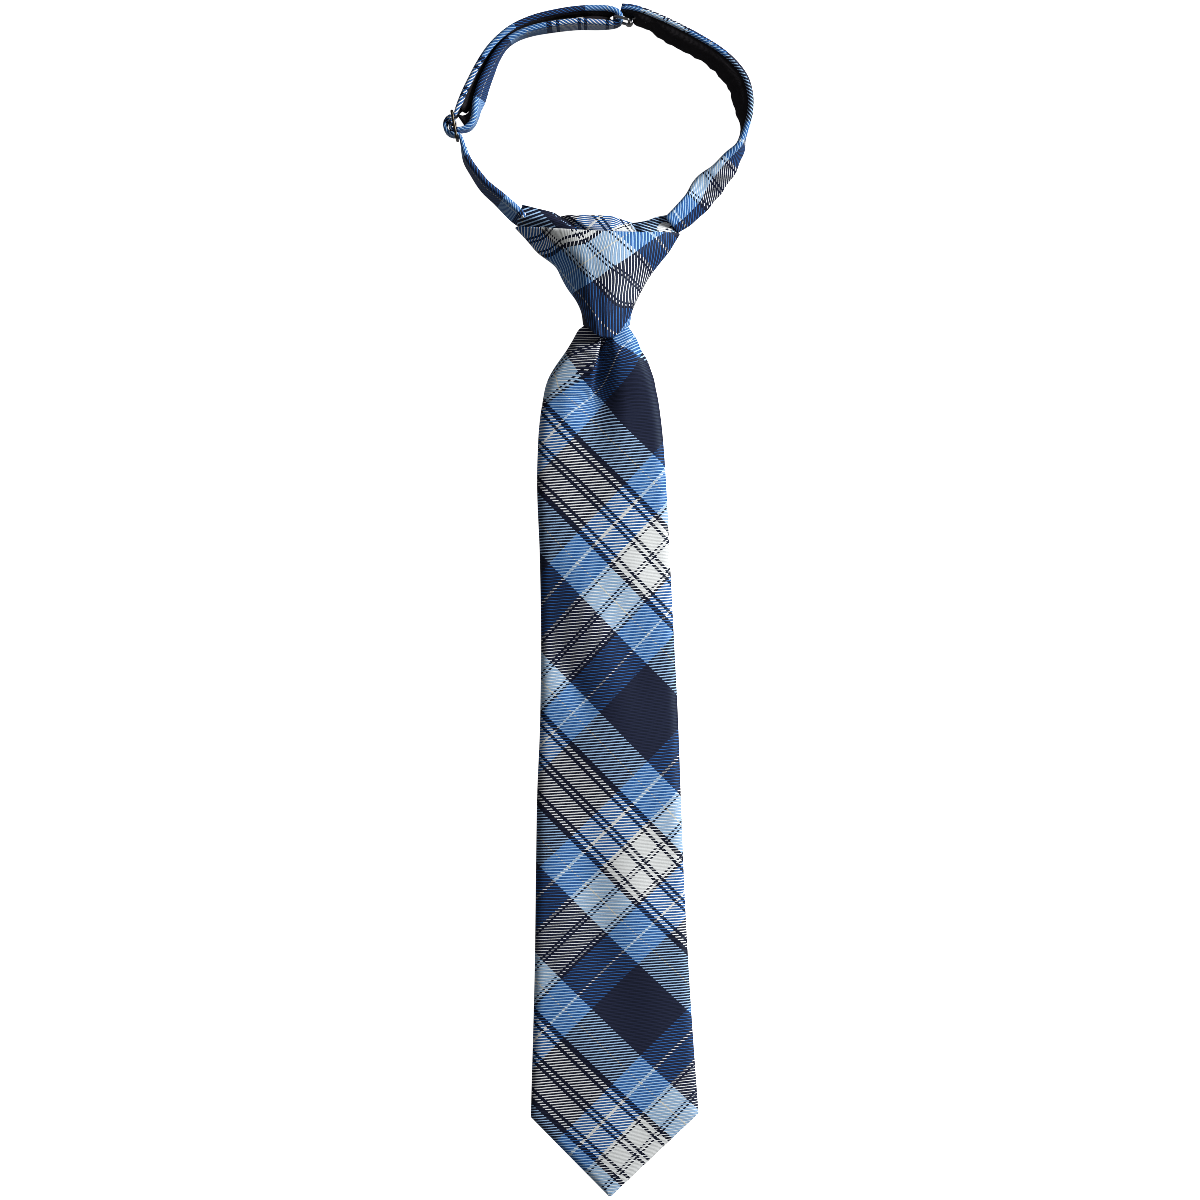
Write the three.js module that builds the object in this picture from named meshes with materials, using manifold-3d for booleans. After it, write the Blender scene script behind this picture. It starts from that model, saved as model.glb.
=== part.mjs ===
// A boy's pre-tied necktie, lying on its back on a table with its neck band standing open behind the knot.
// Millimetres. +X is to the wearer's left as seen from above, +Y runs from the tip up to the neck loop, +Z is up.
// The origin is under the middle of the whole tie, on the surface that it rests on.
import * as THREE from 'three';
import { mergeVertices } from 'three/addons/utils/BufferGeometryUtils.js';
import Module from 'manifold-3d';

const wasm = await Module();
wasm.setup();

// Cloth and clearances
const CLOTH = 1.2; // wall of the blade
const MOST_WALL = 0.4; // the blade's wall is never more than this share of its thickness
const WRAP = 1.5; // wall of the knot's front wrap, two layers of cloth
const GAP = 0.35; // clearance between pieces that touch on the real tie

// Blade
const SLIT = 0.8; // gap between the two flaps that meet down the back
const HEM = 4; // width of the hem folded under along the tip's two edges
const FLAP_CUT = 1; // the flaps' lower edges run up from the tip's corners at 45 degrees
const TIP_CORNERS = { left: -28.6, leftY: -217.2, right: 41.8, rightY: -215.6 };
const TIP_POINT = { x: 4.6, y: -250.5 };
const TIP_POINT_WIDTH = 4;
const TIP_STEPS = 7;
const TIP_THICKNESS = 2.6;
const FRONT_COLUMNS = 14;
const EDGE_ARC_STEPS = 4;
const PLEAT_STEEP = 0.9; // half the width of the pleat's overhanging side
const PLEAT_RUN = 10; // width of its long side
// The trough that runs on below the pleat: its lowest point, its reach to each side, and its depth
const TROUGH = { x: -1.5, y: 82, left: 14, right: 13, up: 18, down: 32, deep: 3.6 };
// The swell to the right of the trough: its highest point, its reach across and along the tie, and its height
const SWELL = { x: 15, y: 96, wide: 9, long: 12, high: 1.2 };

// Neck band: a channel of cloth with a lining set into it
const BAND_WIDTH = 14;
const BAND_THICKNESS = 2.5;
const BAND_WALL = 1.0;
const LINING_THICKNESS = 1.0;
const THREADED_WIDTH = 12.6; // where the band passes through metal it is gathered a little
const THREADED_THICKNESS = 1.6;
const THREADED_LIFT = 1.9;
const BAND_SOFT = 0.35; // how far the folded edges are rounded off
const THREADED_HOLLOW = 0.05; // depth of the channel left where the band is threaded through metal
const LINING_SUNK = 0.1; // how far the lining lies below the channel's edges
const STATION_STEP = 4;

// Metal
const WIRE = 1.2;
const HARDWARE_HEIGHT = 16.2;
const FRAME_CORNER = 1; // radius of the metal frames' outer corners
const SLIDER_TOP_BAR = { x: -61.3, y: 203.4 };
const SLIDER_MIDDLE_BAR = { x: -60.4, y: 197.9 };
const SLIDER_LOWER_BAR = { x: -59.3, y: 192.4 };
const RING_LEFT_BAR = { x: 6.5, y: 242.9 };
const RING_RIGHT_BAR = { x: 12.6, y: 241.3 };
const HOOK_HEIGHT = 6;
const HOOK_LOW = 4.5;
const HOOK_THICKNESS = 0.7;
// The hook: a flat strip along the band's lined side, which turns in and curls round the ring's free upright.
const HOOK_SHANK = [
  { x: 19.4, y: 241.0, lean: -16 },
  { x: 17.2, y: 241.9, lean: -15 },
  { x: 15.2, y: 242.5, lean: -10 },
  { x: 14.2, y: 242.3, lean: -4 },
];

// Sections of the blade from inside the knot down to the tip's corners. left and right are its edges, base the height
// of its underside, thick its thickness at the edges, crown how far its front bulges above them, pleat and deep where
// the pleat under the knot is and its depth.
const BLADE = [
  { y: 122.0, left: -3.8, right: 9.8, base: 5.4, thick: 4.2, crown: 0.3, pleat: 1.0, deep: 1.6 },
  { y: 117.0, left: -4.2, right: 10.4, base: 5.4, thick: 4.4, crown: 0.4, pleat: 1.0, deep: 2.2 },
  { y: 115.4, left: -4.4, right: 10.8, base: 5.3, thick: 4.6, crown: 0.4, pleat: 1.0, deep: 2.4 },
  { y: 114.2, left: -6.8, right: 12.3, base: 5.2, thick: 4.8, crown: 0.6, pleat: 0.9, deep: 2.8 },
  { y: 112.8, left: -8.5, right: 13.2, base: 5.0, thick: 5.0, crown: 0.8, pleat: 0.9, deep: 3.2 },
  { y: 108.6, left: -10.9, right: 15.9, base: 4.7, thick: 5.2, crown: 1.3, pleat: 0.6, deep: 3.8 },
  { y: 104.5, left: -13.4, right: 17.6, base: 4.2, thick: 5.0, crown: 2.2, pleat: 0.1, deep: 4.4 },
  { y: 100.4, left: -16.3, right: 20.1, base: 3.6, thick: 4.8, crown: 2.8, pleat: -0.8, deep: 4.2 },
  { y: 96.2, left: -19.2, right: 21.7, base: 2.9, thick: 4.6, crown: 3.0, pleat: -1.8, deep: 3.4 },
  { y: 92.1, left: -21.4, right: 23.1, base: 2.2, thick: 4.4, crown: 2.8, pleat: -2.3, deep: 2.2 },
  { y: 88.0, left: -22.7, right: 23.9, base: 1.6, thick: 4.2, crown: 2.7, pleat: -2.6, deep: 0.8 },
  { y: 83.8, left: -23.5, right: 24.8, base: 1.0, thick: 4.0, crown: 2.6, pleat: -2.8, deep: 0.2 },
  { y: 75.4, left: -24.8, right: 26.0, base: 0.4, thick: 3.8, crown: 2.5, pleat: -3.0, deep: 0 },
  { y: 67.0, left: -25.5, right: 26.9, base: 0, thick: 3.6, crown: 2.4, pleat: -3.0, deep: 0 },
  { y: 50.0, left: -26.0, right: 28.1, base: 0, thick: 3.6, crown: 2.3, pleat: -3.0, deep: 0 },
  { y: 16.6, left: -24.8, right: 29.8, base: 0, thick: 3.6, crown: 2.2, pleat: -3.0, deep: 0 },
  { y: -17.0, left: -24.3, right: 31.5, base: 0, thick: 3.6, crown: 2.2, pleat: -3.0, deep: 0 },
  { y: -50.6, left: -24.7, right: 33.2, base: 0, thick: 3.6, crown: 2.2, pleat: -3.0, deep: 0 },
  { y: -84.0, left: -26.0, right: 34.4, base: 0, thick: 3.6, crown: 2.2, pleat: -3.0, deep: 0 },
  { y: -118.0, left: -26.5, right: 35.7, base: 0, thick: 3.6, crown: 2.2, pleat: -3.0, deep: 0 },
  { y: -151.0, left: -26.9, right: 37.4, base: 0, thick: 3.6, crown: 2.2, pleat: -3.0, deep: 0 },
  { y: -180.0, left: -27.6, right: 39.2, base: 0, thick: 3.5, crown: 2.0, pleat: -3.0, deep: 0 },
  { y: -192.0, left: -27.9, right: 40.0, base: 0, thick: 3.4, crown: 1.8, pleat: -3.0, deep: 0 },
  { y: -204.0, left: -28.3, right: 40.9, base: 0, thick: 3.2, crown: 1.6, pleat: -3.0, deep: 0 },
];

// Sections of the knot's front wrap, from its lower edge up to its top edge. sag is how far the section dips
// below its ends at the front, front and back are its heights, and full makes a section boxier above 2.
const KNOT = [
  { left: -6.7, leftY: 115.1, right: 13.0, rightY: 115.1, sag: 5.4, front: 13.6, back: 1.6, full: 2.6 },
  { left: -7.5, leftY: 120.1, right: 13.8, rightY: 120.1, sag: 4.4, front: 14.8, back: 1.2, full: 2.6 },
  { left: -9.7, leftY: 125.0, right: 15.9, rightY: 125.0, sag: 3.4, front: 15.7, back: 0.8, full: 2.5 },
  { left: -13.2, leftY: 130.0, right: 18.4, rightY: 130.0, sag: 2.6, front: 16.3, back: 0.4, full: 2.4 },
  { left: -17.0, leftY: 136.4, right: 21.6, rightY: 135.5, sag: 2.0, front: 16.7, back: 0.1, full: 2.3 },
  { left: -21.4, leftY: 141.4, right: 25.3, rightY: 140.4, sag: 1.6, front: 16.9, back: 0, full: 2.2 },
  { left: -26.1, leftY: 145.5, right: 29.2, rightY: 145.2, sag: 1.4, front: 16.9, back: 0, full: 2.1 },
  { left: -30.2, leftY: 150.3, right: 31.8, rightY: 149.4, sag: 1.3, front: 16.6, back: 0, full: 2.0 },
  { left: -35.1, leftY: 155.6, right: 33.8, rightY: 152.7, sag: 1.3, front: 15.8, back: 0.2, full: 2.0 },
];
// The knot's front falls away to both sides, and so does the height of its side edges. ridge and edgeFrom are shares of
// a section's half width. Along Y the fall sets in at start and is whole from full on, and only a small share of it
// is left between the wrap's top edge and the fold's crest.
const FALL = {
  left: { top: 5.5, ridge: 0.2, edge: 4.4, edgeFrom: 0.4 },
  right: { top: 5, ridge: 0.1, edge: 2.5, edgeFrom: 0.4 },
};
const FALL_ALONG = { start: 120, full: 138, edge: 155.5, crest: 159.5, share: 0.25 };
const CORE_START = 3; // the first KNOT section that the folded core inside the wrap reaches
const RING_POINTS = 48;

// The fold above the wrap. Each section lies a share of the way up from the wrap's top edge to the fold's crest.
const FOLD = [
  { rise: 0.3, left: -34.2, right: 31.8, front: 14.6, back: 2.2 },
  { rise: 0.6, left: -33.8, right: 30.8, front: 13.8, back: 3.0 },
  { rise: 0.85, left: -33.0, right: 29.5, front: 12.0, back: 4.6 },
  { rise: 1, left: -32.2, right: 28.4, front: 9.8, back: 6.6 },
];
// The crest seen from above, with its left shoulder, notch, middle, dip and right shoulder.
const CREST = [
  { x: -32.2, y: 164.3 },
  { x: -25.9, y: 162.7 },
  { x: -18.6, y: 160.9 },
  { x: -16.2, y: 159.6 },
  { x: -12.4, y: 159.9 },
  { x: 4.6, y: 159.7 },
  { x: 10.9, y: 157.6 },
  { x: 14.6, y: 156.8 },
  { x: 19.2, y: 157.4 },
  { x: 24.2, y: 159.1 },
  { x: 28.4, y: 159.9 },
];
const CREASES = [-15.6, 15.0]; // the notch and the dip run down the fold as two shallow creases
const CREASE_WIDTH = 4;
const CREASE_DEPTH = 1.3;
const TUCK = 3; // how far the neck band's ends reach in over and under the knot

// Stations along the neck band, seen from above, with the plaid face on the left of the way it runs. lean is in
// degrees, positive where the band's upper edge leans to that side. The left piece runs from the knot to the slider.
const LEFT_FROM_KNOT = [
  { x: -29.6, y: 156.8, lean: -34, wide: 10.5, lift: 2.4 },
  { x: -34.6, y: 160.8, lean: -26, wide: 12.4, lift: 1.2 },
  { x: -41.6, y: 167.4, lean: -16, wide: 14 },
  { x: -47.7, y: 172.8, lean: -12.5, wide: 14 },
  { x: -52.2, y: 178.9, lean: -8, wide: 14 },
  { x: -55.4, y: 184.3, lean: -5, wide: 14 },
];
// It goes on from the slider to the ring.
const LEFT_OUTER = [
  { x: -57.2, y: 207.4, lean: 6, wide: 13.4 },
  { x: -55.4, y: 211.4, lean: 7, wide: 14 },
  { x: -53.0, y: 216.4, lean: 7, wide: 14 },
  { x: -50.2, y: 222.2, lean: 5, wide: 14 },
  { x: -46.2, y: 228.9, lean: 3, wide: 14 },
  { x: -41.4, y: 234.3, lean: 2, wide: 14 },
  { x: -35.8, y: 238.6, lean: 2, wide: 14 },
  { x: -28.4, y: 242.0, lean: 2, wide: 14 },
  { x: -20.1, y: 244.3, lean: 2, wide: 14 },
  { x: -9.0, y: 246.1, lean: 2, wide: 14 },
  { x: 0.4, y: 246.5, lean: 1, wide: 13.4 },
];
// The turn round the ring is sharper on its outer side.
const ROUND_RING = [
  { x: 4.6, y: 246.2, lean: 0, wide: THREADED_WIDTH },
  { x: 7.4, y: 245.2, lean: 0, wide: THREADED_WIDTH },
  { x: 8.9, y: 243.3, lean: 0, wide: THREADED_WIDTH },
  { x: 8.4, y: 241.4, lean: 0, wide: THREADED_WIDTH },
  { x: 6.2, y: 240.4, lean: 0, wide: THREADED_WIDTH },
];
// It turns back round the ring and returns to the slider on the neck side.
const LEFT_INNER = [
  { x: 0.4, y: 240.3, lean: -3, wide: 13.4 },
  { x: -9.0, y: 240.6, lean: -5, wide: 14 },
  { x: -20.1, y: 239.4, lean: -5, wide: 14 },
  { x: -28.6, y: 237.7, lean: -3, wide: 14 },
  { x: -34.8, y: 235.3, lean: -1, wide: 14 },
  { x: -39.5, y: 231.8, lean: -1, wide: 14 },
  { x: -43.2, y: 226.4, lean: -4, wide: 14 },
  { x: -46.0, y: 220.4, lean: -9, wide: 14 },
  { x: -48.4, y: 214.4, lean: -12, wide: 14 },
  { x: -50.0, y: 209.0, lean: -12, wide: 14 },
  { x: -51.2, y: 205.0, lean: -6, wide: 13.4 },
  { x: -51.7, y: 202.2, lean: -3, wide: 13 },
  { x: -52.7, y: 199.4, lean: -1, wide: THREADED_WIDTH },
  { x: -54.6, y: 197.2, lean: 0, wide: THREADED_WIDTH },
  { x: -57.2, y: 196.2, lean: 0, wide: THREADED_WIDTH, threaded: 1 },
];
// The right piece runs from the hook to the knot, and twists over before it gets there.
const RIGHT = [
  { x: 9.3, y: 246.9, lean: 4, wide: 13.4 },
  { x: 12.6, y: 245.9, lean: 12, wide: 14 },
  { x: 17.6, y: 244.0, lean: 18, wide: 14 },
  { x: 25.5, y: 240.7, lean: 19, wide: 14 },
  { x: 33.7, y: 236.9, lean: 18, wide: 14 },
  { x: 42.0, y: 232.4, lean: 18, wide: 14 },
  { x: 49.5, y: 227.6, lean: 19, wide: 14 },
  { x: 55.3, y: 222.2, lean: 21, wide: 14 },
  { x: 59.3, y: 216.4, lean: 22, wide: 14 },
  { x: 61.3, y: 209.8, lean: 19, wide: 14 },
  { x: 62.0, y: 203.8, lean: 11, wide: 14 },
  { x: 61.6, y: 198.2, lean: 3, wide: 14 },
  { x: 60.4, y: 193.2, lean: -3, wide: 14 },
  { x: 58.8, y: 188.8, lean: -10, wide: 14 },
  { x: 55.6, y: 184.0, lean: -27, wide: 14 },
  { x: 50.8, y: 177.8, lean: -39, wide: 14 },
  { x: 45.4, y: 171.6, lean: -52, wide: 14 },
  { x: 40.4, y: 165.9, lean: -52, wide: 13.6, lift: 0.5 },
  { x: 35.8, y: 161.2, lean: -50, wide: 12.2, lift: 1.6 },
  { x: 30.2, y: 156.4, lean: -48, wide: 10.5, lift: 2.8 },
];

const material = (color, roughness, metalness) => new THREE.MeshStandardMaterial({ color, roughness, metalness });
const TARTAN = material(0x3f62a8, 0.75, 0);
const TARTAN_DARK = material(0x27325e, 0.75, 0);
const TARTAN_LIGHT = material(0x7d9fce, 0.75, 0);
const LINING = material(0x1b1b20, 0.9, 0);
const DARK_METAL = material(0x3a342e, 0.4, 0.9);
const BRIGHT_METAL = material(0xb9bcc0, 0.3, 0.9);

// Small helpers

const lerp = (a, b, t) => a + (b - a) * t;

const range = (count) => Array.from({ length: count }, (_, i) => i);

// 0 before start, 1 after end, and smooth between them.
const ease = (x, start, end) => THREE.MathUtils.smoothstep(x, start, end);

// A value of a table at a place between its rows, by straight lines.
function tableAt(rows, by, column, place) {
  const last = rows.length - 1;
  if (place <= rows[0][by]) return rows[0][column];
  if (place >= rows[last][by]) return rows[last][column];
  const i = rows.findIndex((row) => row[by] >= place);
  const share = (place - rows[i - 1][by]) / (rows[i][by] - rows[i - 1][by]);
  return lerp(rows[i - 1][column], rows[i][column], share);
}

// Joins rings of points into one closed body. With loop set the last ring joins the first, as in a sleeve.
// Otherwise both ends are capped. cap gives a ring's faces as numbers of its points, turned the way the ring runs.
function loft(rings, { loop = false, cap = capOf((p) => new THREE.Vector2(p.x, p.z)) } = {}) {
  const around = rings[0].length;
  const positions = rings.flat().flatMap((p) => [p.x, p.y, p.z]);
  const index = [];
  const spans = loop ? rings.length : rings.length - 1;
  for (const i of range(spans)) {
    const next = (i + 1) % rings.length;
    for (const j of range(around)) {
      const k = (j + 1) % around;
      const [a, b] = [i * around + j, i * around + k];
      const [c, d] = [next * around + k, next * around + j];
      index.push(a, b, c, a, c, d);
    }
  }
  if (!loop) {
    const end = (rings.length - 1) * around;
    for (const [a, b, c] of cap(rings[0])) index.push(a, c, b);
    for (const [a, b, c] of cap(rings[rings.length - 1])) index.push(end + a, end + b, end + c);
  }
  return solidGeometry(positions, index);
}

// A flat cap for a ring of any outline. flat turns the ring's points into the plane that the cap is cut in.
const capOf = (flat) => (ring) => {
  const contour = ring.map((p, j) => flat(p, j));
  const turn = Math.sign(THREE.ShapeUtils.area(contour));
  return THREE.ShapeUtils.triangulateShape(contour, []).map(([a, b, c]) => {
    const same = Math.sign(THREE.ShapeUtils.area([a, b, c].map((j) => contour[j]))) === turn;
    return same ? [a, b, c] : [a, c, b];
  });
};

// A cap for a ring whose second half lies under its first, joined straight across from half to half.
function capAcross(ring) {
  const last = ring.length;
  return range(last / 2).flatMap((j) => {
    const [here, next] = [(last - j) % last, last - j - 1];
    const faces = [[j, j + 1, next], [j, next, here]];
    return faces.filter((face) => new Set(face).size === 3);
  });
}

// A geometry whose faces point out whichever way round its rings ran.
function solidGeometry(positions, index) {
  let volume = 0;
  const corner = (k) => new THREE.Vector3().fromArray(positions, 3 * index[k]);
  for (let k = 0; k < index.length; k += 3) {
    volume += corner(k).dot(corner(k + 1).cross(corner(k + 2)));
  }
  if (volume < 0) index.reverse();
  const geometry = new THREE.BufferGeometry();
  geometry.setAttribute('position', new THREE.Float32BufferAttribute(positions, 3));
  geometry.setIndex(index);
  return geometry;
}

function toManifold(geometry) {
  const bare = geometry.clone();
  bare.deleteAttribute('normal');
  bare.deleteAttribute('uv');
  const merged = mergeVertices(bare, 1e-4);
  const vertProperties = Float32Array.from(merged.attributes.position.array);
  const triVerts = Uint32Array.from(merged.index.array);
  return new wasm.Manifold(new wasm.Mesh({ numProp: 3, vertProperties, triVerts }));
}

function fromManifold(solid) {
  const mesh = solid.getMesh();
  const geometry = new THREE.BufferGeometry();
  geometry.setAttribute('position', new THREE.BufferAttribute(Float32Array.from(mesh.vertProperties), 3));
  geometry.setIndex(Array.from(mesh.triVerts));
  return geometry;
}

// Blade

// The pleat's cross-section: 0 on the flat cloth, -1 at the bottom of the fold, with one steep and one long side.
function pleatShape(x, edge) {
  if (x < edge - PLEAT_STEEP) return 0;
  if (x < edge + PLEAT_STEEP) return -(x - edge + PLEAT_STEEP) / (2 * PLEAT_STEEP);
  const along = (x - edge - PLEAT_STEEP) / PLEAT_RUN;
  return along < 1 ? -((1 - along) ** 2) : 0;
}

// The trough below the pleat and the swell beside it, at a place on the blade's front. u runs from -1 to 1 across it.
function bladeRelief(x, y, u) {
  const across = ease(x, TROUGH.x - TROUGH.left, TROUGH.x) * (1 - ease(x, TROUGH.x, TROUGH.x + TROUGH.right));
  const along = ease(y, TROUGH.y - TROUGH.down, TROUGH.y) * (1 - ease(y, TROUGH.y, TROUGH.y + TROUGH.up));
  const off = ((x - SWELL.x) / SWELL.wide) ** 2 + ((y - SWELL.y) / SWELL.long) ** 2;
  return (SWELL.high * Math.exp(-off) - TROUGH.deep * across * along) * (1 - u ** 4);
}

// One section of the folded blade: from the slit under the left flap, round the left edge, over the front, round
// the right edge and back to the slit, then the same way back inside the cloth.
function bladeRing(section) {
  const { left, right, leftY, rightY, base, thick, crown, flap, pleat, deep } = section;
  const wall = Math.min(CLOTH, thick * MOST_WALL);
  const wide = right - left;
  const skin = (inset) => {
    const round = thick / 2 - inset;
    const points = [];
    const edgeArc = (side) => range(EDGE_ARC_STEPS + 1).map((i) => {
      const angle = (side * Math.PI * i) / EDGE_ARC_STEPS;
      const x = (side > 0 ? left : right) + side * (thick / 2) - side * round * Math.sin(Math.abs(angle));
      return [x, base + thick / 2 - round * Math.cos(angle)];
    });
    const front = range(FRONT_COLUMNS - 1).map((i) => {
      const u = ((i + 1) / FRONT_COLUMNS) * 2 - 1;
      const x = lerp(left + thick / 2, right - thick / 2, (u + 1) / 2);
      const relief = crown * (1 - u * u) + deep * pleatShape(x, pleat) + bladeRelief(x, leftY, u);
      return [x, base + thick - inset + relief];
    });
    points.push([left + flap, base + inset], ...edgeArc(1), ...front);
    points.push(...edgeArc(-1).reverse(), [right - flap, base + inset]);
    return points;
  };
  const outline = [...skin(0), ...skin(wall).reverse()];
  return outline.map(([x, z]) => new THREE.Vector3(x, lerp(leftY, rightY, (x - left) / wide), z));
}

function bladeSections() {
  const rows = BLADE.map((row) => ({ ...row, leftY: row.y, rightY: row.y }));
  const corners = { ...BLADE[BLADE.length - 1], ...TIP_CORNERS, thick: 3 };
  const skewRows = 3; // the last rows turn from square to the slant of the tip's corners
  rows.slice(-skewRows).forEach((row, i) => {
    const slant = ((corners.rightY - corners.leftY) * (i + 1)) / (skewRows + 1);
    row.leftY -= slant / 2;
    row.rightY += slant / 2;
  });
  const tip = range(TIP_STEPS + 1).map((i) => {
    const s = (i / TIP_STEPS) * (1 - TIP_POINT_WIDTH / (corners.right - corners.left));
    return {
      ...corners,
      left: lerp(corners.left, TIP_POINT.x, s),
      right: lerp(corners.right, TIP_POINT.x, s),
      leftY: lerp(corners.leftY, TIP_POINT.y, s),
      rightY: lerp(corners.rightY, TIP_POINT.y, s),
      thick: lerp(corners.thick, TIP_THICKNESS, s),
      crown: lerp(corners.crown, 0, s),
    };
  });
  const cornerY = (corners.leftY + corners.rightY) / 2;
  return [...rows, ...tip].map((row) => {
    const above = Math.max(0, (row.leftY + row.rightY) / 2 - cornerY);
    const most = (row.right - row.left - SLIT) / 2;
    return { ...row, flap: Math.min(most, HEM + FLAP_CUT * above) };
  });
}

const blade = () => loft(bladeSections().map(bladeRing));

// Knot

// One section of the knot, moved in from its outer form by inset. yAt gives its place along the tie at each x.
function knotRing(row, inset, yAt) {
  const { left, right, front, back, full } = row;
  const [middle, half] = [(left + right) / 2, (right - left) / 2];
  const power = (value) => Math.sign(value) * Math.abs(value) ** (2 / full);
  return range(RING_POINTS).map((i) => {
    const angle = (2 * Math.PI * i) / RING_POINTS;
    const x = middle + (half - inset) * power(Math.cos(angle));
    const y = yAt(x, Math.max(0, Math.sin(angle)));
    const fall = knotFall((x - middle) / half, y);
    const edge = (front + back) / 2 - fall.edge;
    const outer = Math.sin(angle) > 0 ? front - fall.top - inset : back + inset;
    return new THREE.Vector3(x, y, lerp(edge, outer, Math.abs(power(Math.sin(angle)))));
  });
}

// How far the knot's front and its side edges are lowered, at a share u of a section's half width.
function knotFall(u, y) {
  const side = u < 0 ? FALL.left : FALL.right;
  const onCrest = lerp(1, FALL_ALONG.share, ease(y, FALL_ALONG.edge, FALL_ALONG.crest));
  const amount = ease(y, FALL_ALONG.start, FALL_ALONG.full) * onCrest;
  const out = Math.abs(u);
  return { top: side.top * amount * ease(out, side.ridge, 1), edge: side.edge * amount * ease(out, side.edgeFrom, 1) };
}

// Where a wrap section lies along the tie: a straight line between its ends, which dips at the front by its sag.
const wrapLine = (row) => (x, frontShare) => {
  const share = THREE.MathUtils.clamp((x - row.left) / (row.right - row.left), 0, 1);
  return lerp(row.leftY, row.rightY, share) - row.sag * frontShare * 4 * share * (1 - share);
};

const wrapRings = (inset) => KNOT.map((row) => knotRing(row, inset, wrapLine(row)));

const knotWrap = () => loft([...wrapRings(0), ...wrapRings(WRAP).reverse()], { loop: true });

function creaseDepth(x) {
  const near = CREASES.map((crease) => Math.max(0, 1 - Math.abs(x - crease) / CREASE_WIDTH));
  return CREASE_DEPTH * Math.max(...near);
}

function foldRings(inset) {
  const top = wrapLine(KNOT[KNOT.length - 1]);
  return FOLD.map((row) => {
    const yAt = (x) => lerp(top(x, 0.5), tableAt(CREST, 'x', 'y', x), row.rise) - inset * row.rise;
    const ring = knotRing({ ...row, full: 2 }, inset, yAt);
    return ring.map((p) => p.setZ(p.z > row.back + 3 ? p.z - creaseDepth(p.x) : p.z));
  });
}

const knotFold = () => loft([...wrapRings(WRAP + GAP).slice(CORE_START), ...foldRings(0)], { cap: capAcross });

// What the neck band is trimmed by where it meets the knot: the knot with its clearance, and its outline from above
// made smaller by TUCK and carried up and down, which is how far the band's ends reach in over and under it.
function knotTrim() {
  const outline = new THREE.Shape([
    ...KNOT.map((row) => new THREE.Vector2(row.left + TUCK, row.leftY)),
    ...CREST.map((p) => new THREE.Vector2(p.x, p.y - TUCK)),
    ...KNOT.map((row) => new THREE.Vector2(row.right - TUCK, row.rightY)).reverse(),
  ]);
  const block = new THREE.ExtrudeGeometry(outline, { depth: 3 * BAND_WIDTH, bevelEnabled: false });
  block.translate(0, 0, -BAND_WIDTH);
  return toManifold(loft([...wrapRings(-GAP), ...foldRings(-GAP)], { cap: capAcross })).add(toManifold(block));
}

// Neck band

// Stations on part of a circle seen from above, from one angle to another in degrees.
function arcStations(centre, radius, from, to, steps, rest) {
  return range(steps + 1).map((i) => {
    const angle = THREE.MathUtils.degToRad(lerp(from, to, i / steps));
    return { x: centre.x + radius * Math.cos(angle), y: centre.y + radius * Math.sin(angle), ...rest };
  });
}

const degreesFromTo = (a, b) => THREE.MathUtils.radToDeg(Math.atan2(b.y - a.y, b.x - a.x));

// The way through the slider: right of the lower bar, left of the band's own end on the middle bar, right of
// the top bar, as three arcs that touch.
function throughSlider() {
  const near = WIRE / 2 + GAP + THREADED_THICKNESS / 2;
  const over = Math.hypot(
    SLIDER_MIDDLE_BAR.x - SLIDER_LOWER_BAR.x,
    SLIDER_MIDDLE_BAR.y - SLIDER_LOWER_BAR.y,
  ) - near;
  const up = degreesFromTo(SLIDER_LOWER_BAR, SLIDER_MIDDLE_BAR);
  const upAgain = degreesFromTo(SLIDER_MIDDLE_BAR, SLIDER_TOP_BAR);
  const rest = { lean: 0, wide: THREADED_WIDTH, threaded: 1 };
  return [
    ...arcStations(SLIDER_LOWER_BAR, near, 0, up, 4, rest),
    ...arcStations(SLIDER_MIDDLE_BAR, over, up + 180, upAgain, 8, rest).slice(1),
    ...arcStations(SLIDER_TOP_BAR, near, upAgain - 180, 0, 4, rest).slice(1),
  ];
}

// The band's end, wrapped round the middle bar.
function endOnSlider() {
  const radius = WIRE / 2 + GAP + THREADED_THICKNESS / 2;
  const rest = { lean: 0, wide: THREADED_WIDTH, threaded: 1 };
  return arcStations(SLIDER_MIDDLE_BAR, radius, -80, -290, 7, rest);
}

// Fills in what a station leaves out. threaded is 1 where the band is unlined and thin, lift is its lower edge's
// height: where metal holds the band, it is lifted the more the narrower it gets.
function station(row) {
  const threaded = row.threaded ?? 0;
  const thick = lerp(BAND_THICKNESS, THREADED_THICKNESS, threaded);
  const narrow = (BAND_WIDTH - row.wide) / (BAND_WIDTH - THREADED_WIDTH);
  const lift = row.lift ?? narrow * THREADED_LIFT;
  return { x: row.x, y: row.y, lean: row.lean, wide: row.wide, thick, threaded, lift };
}

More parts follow.
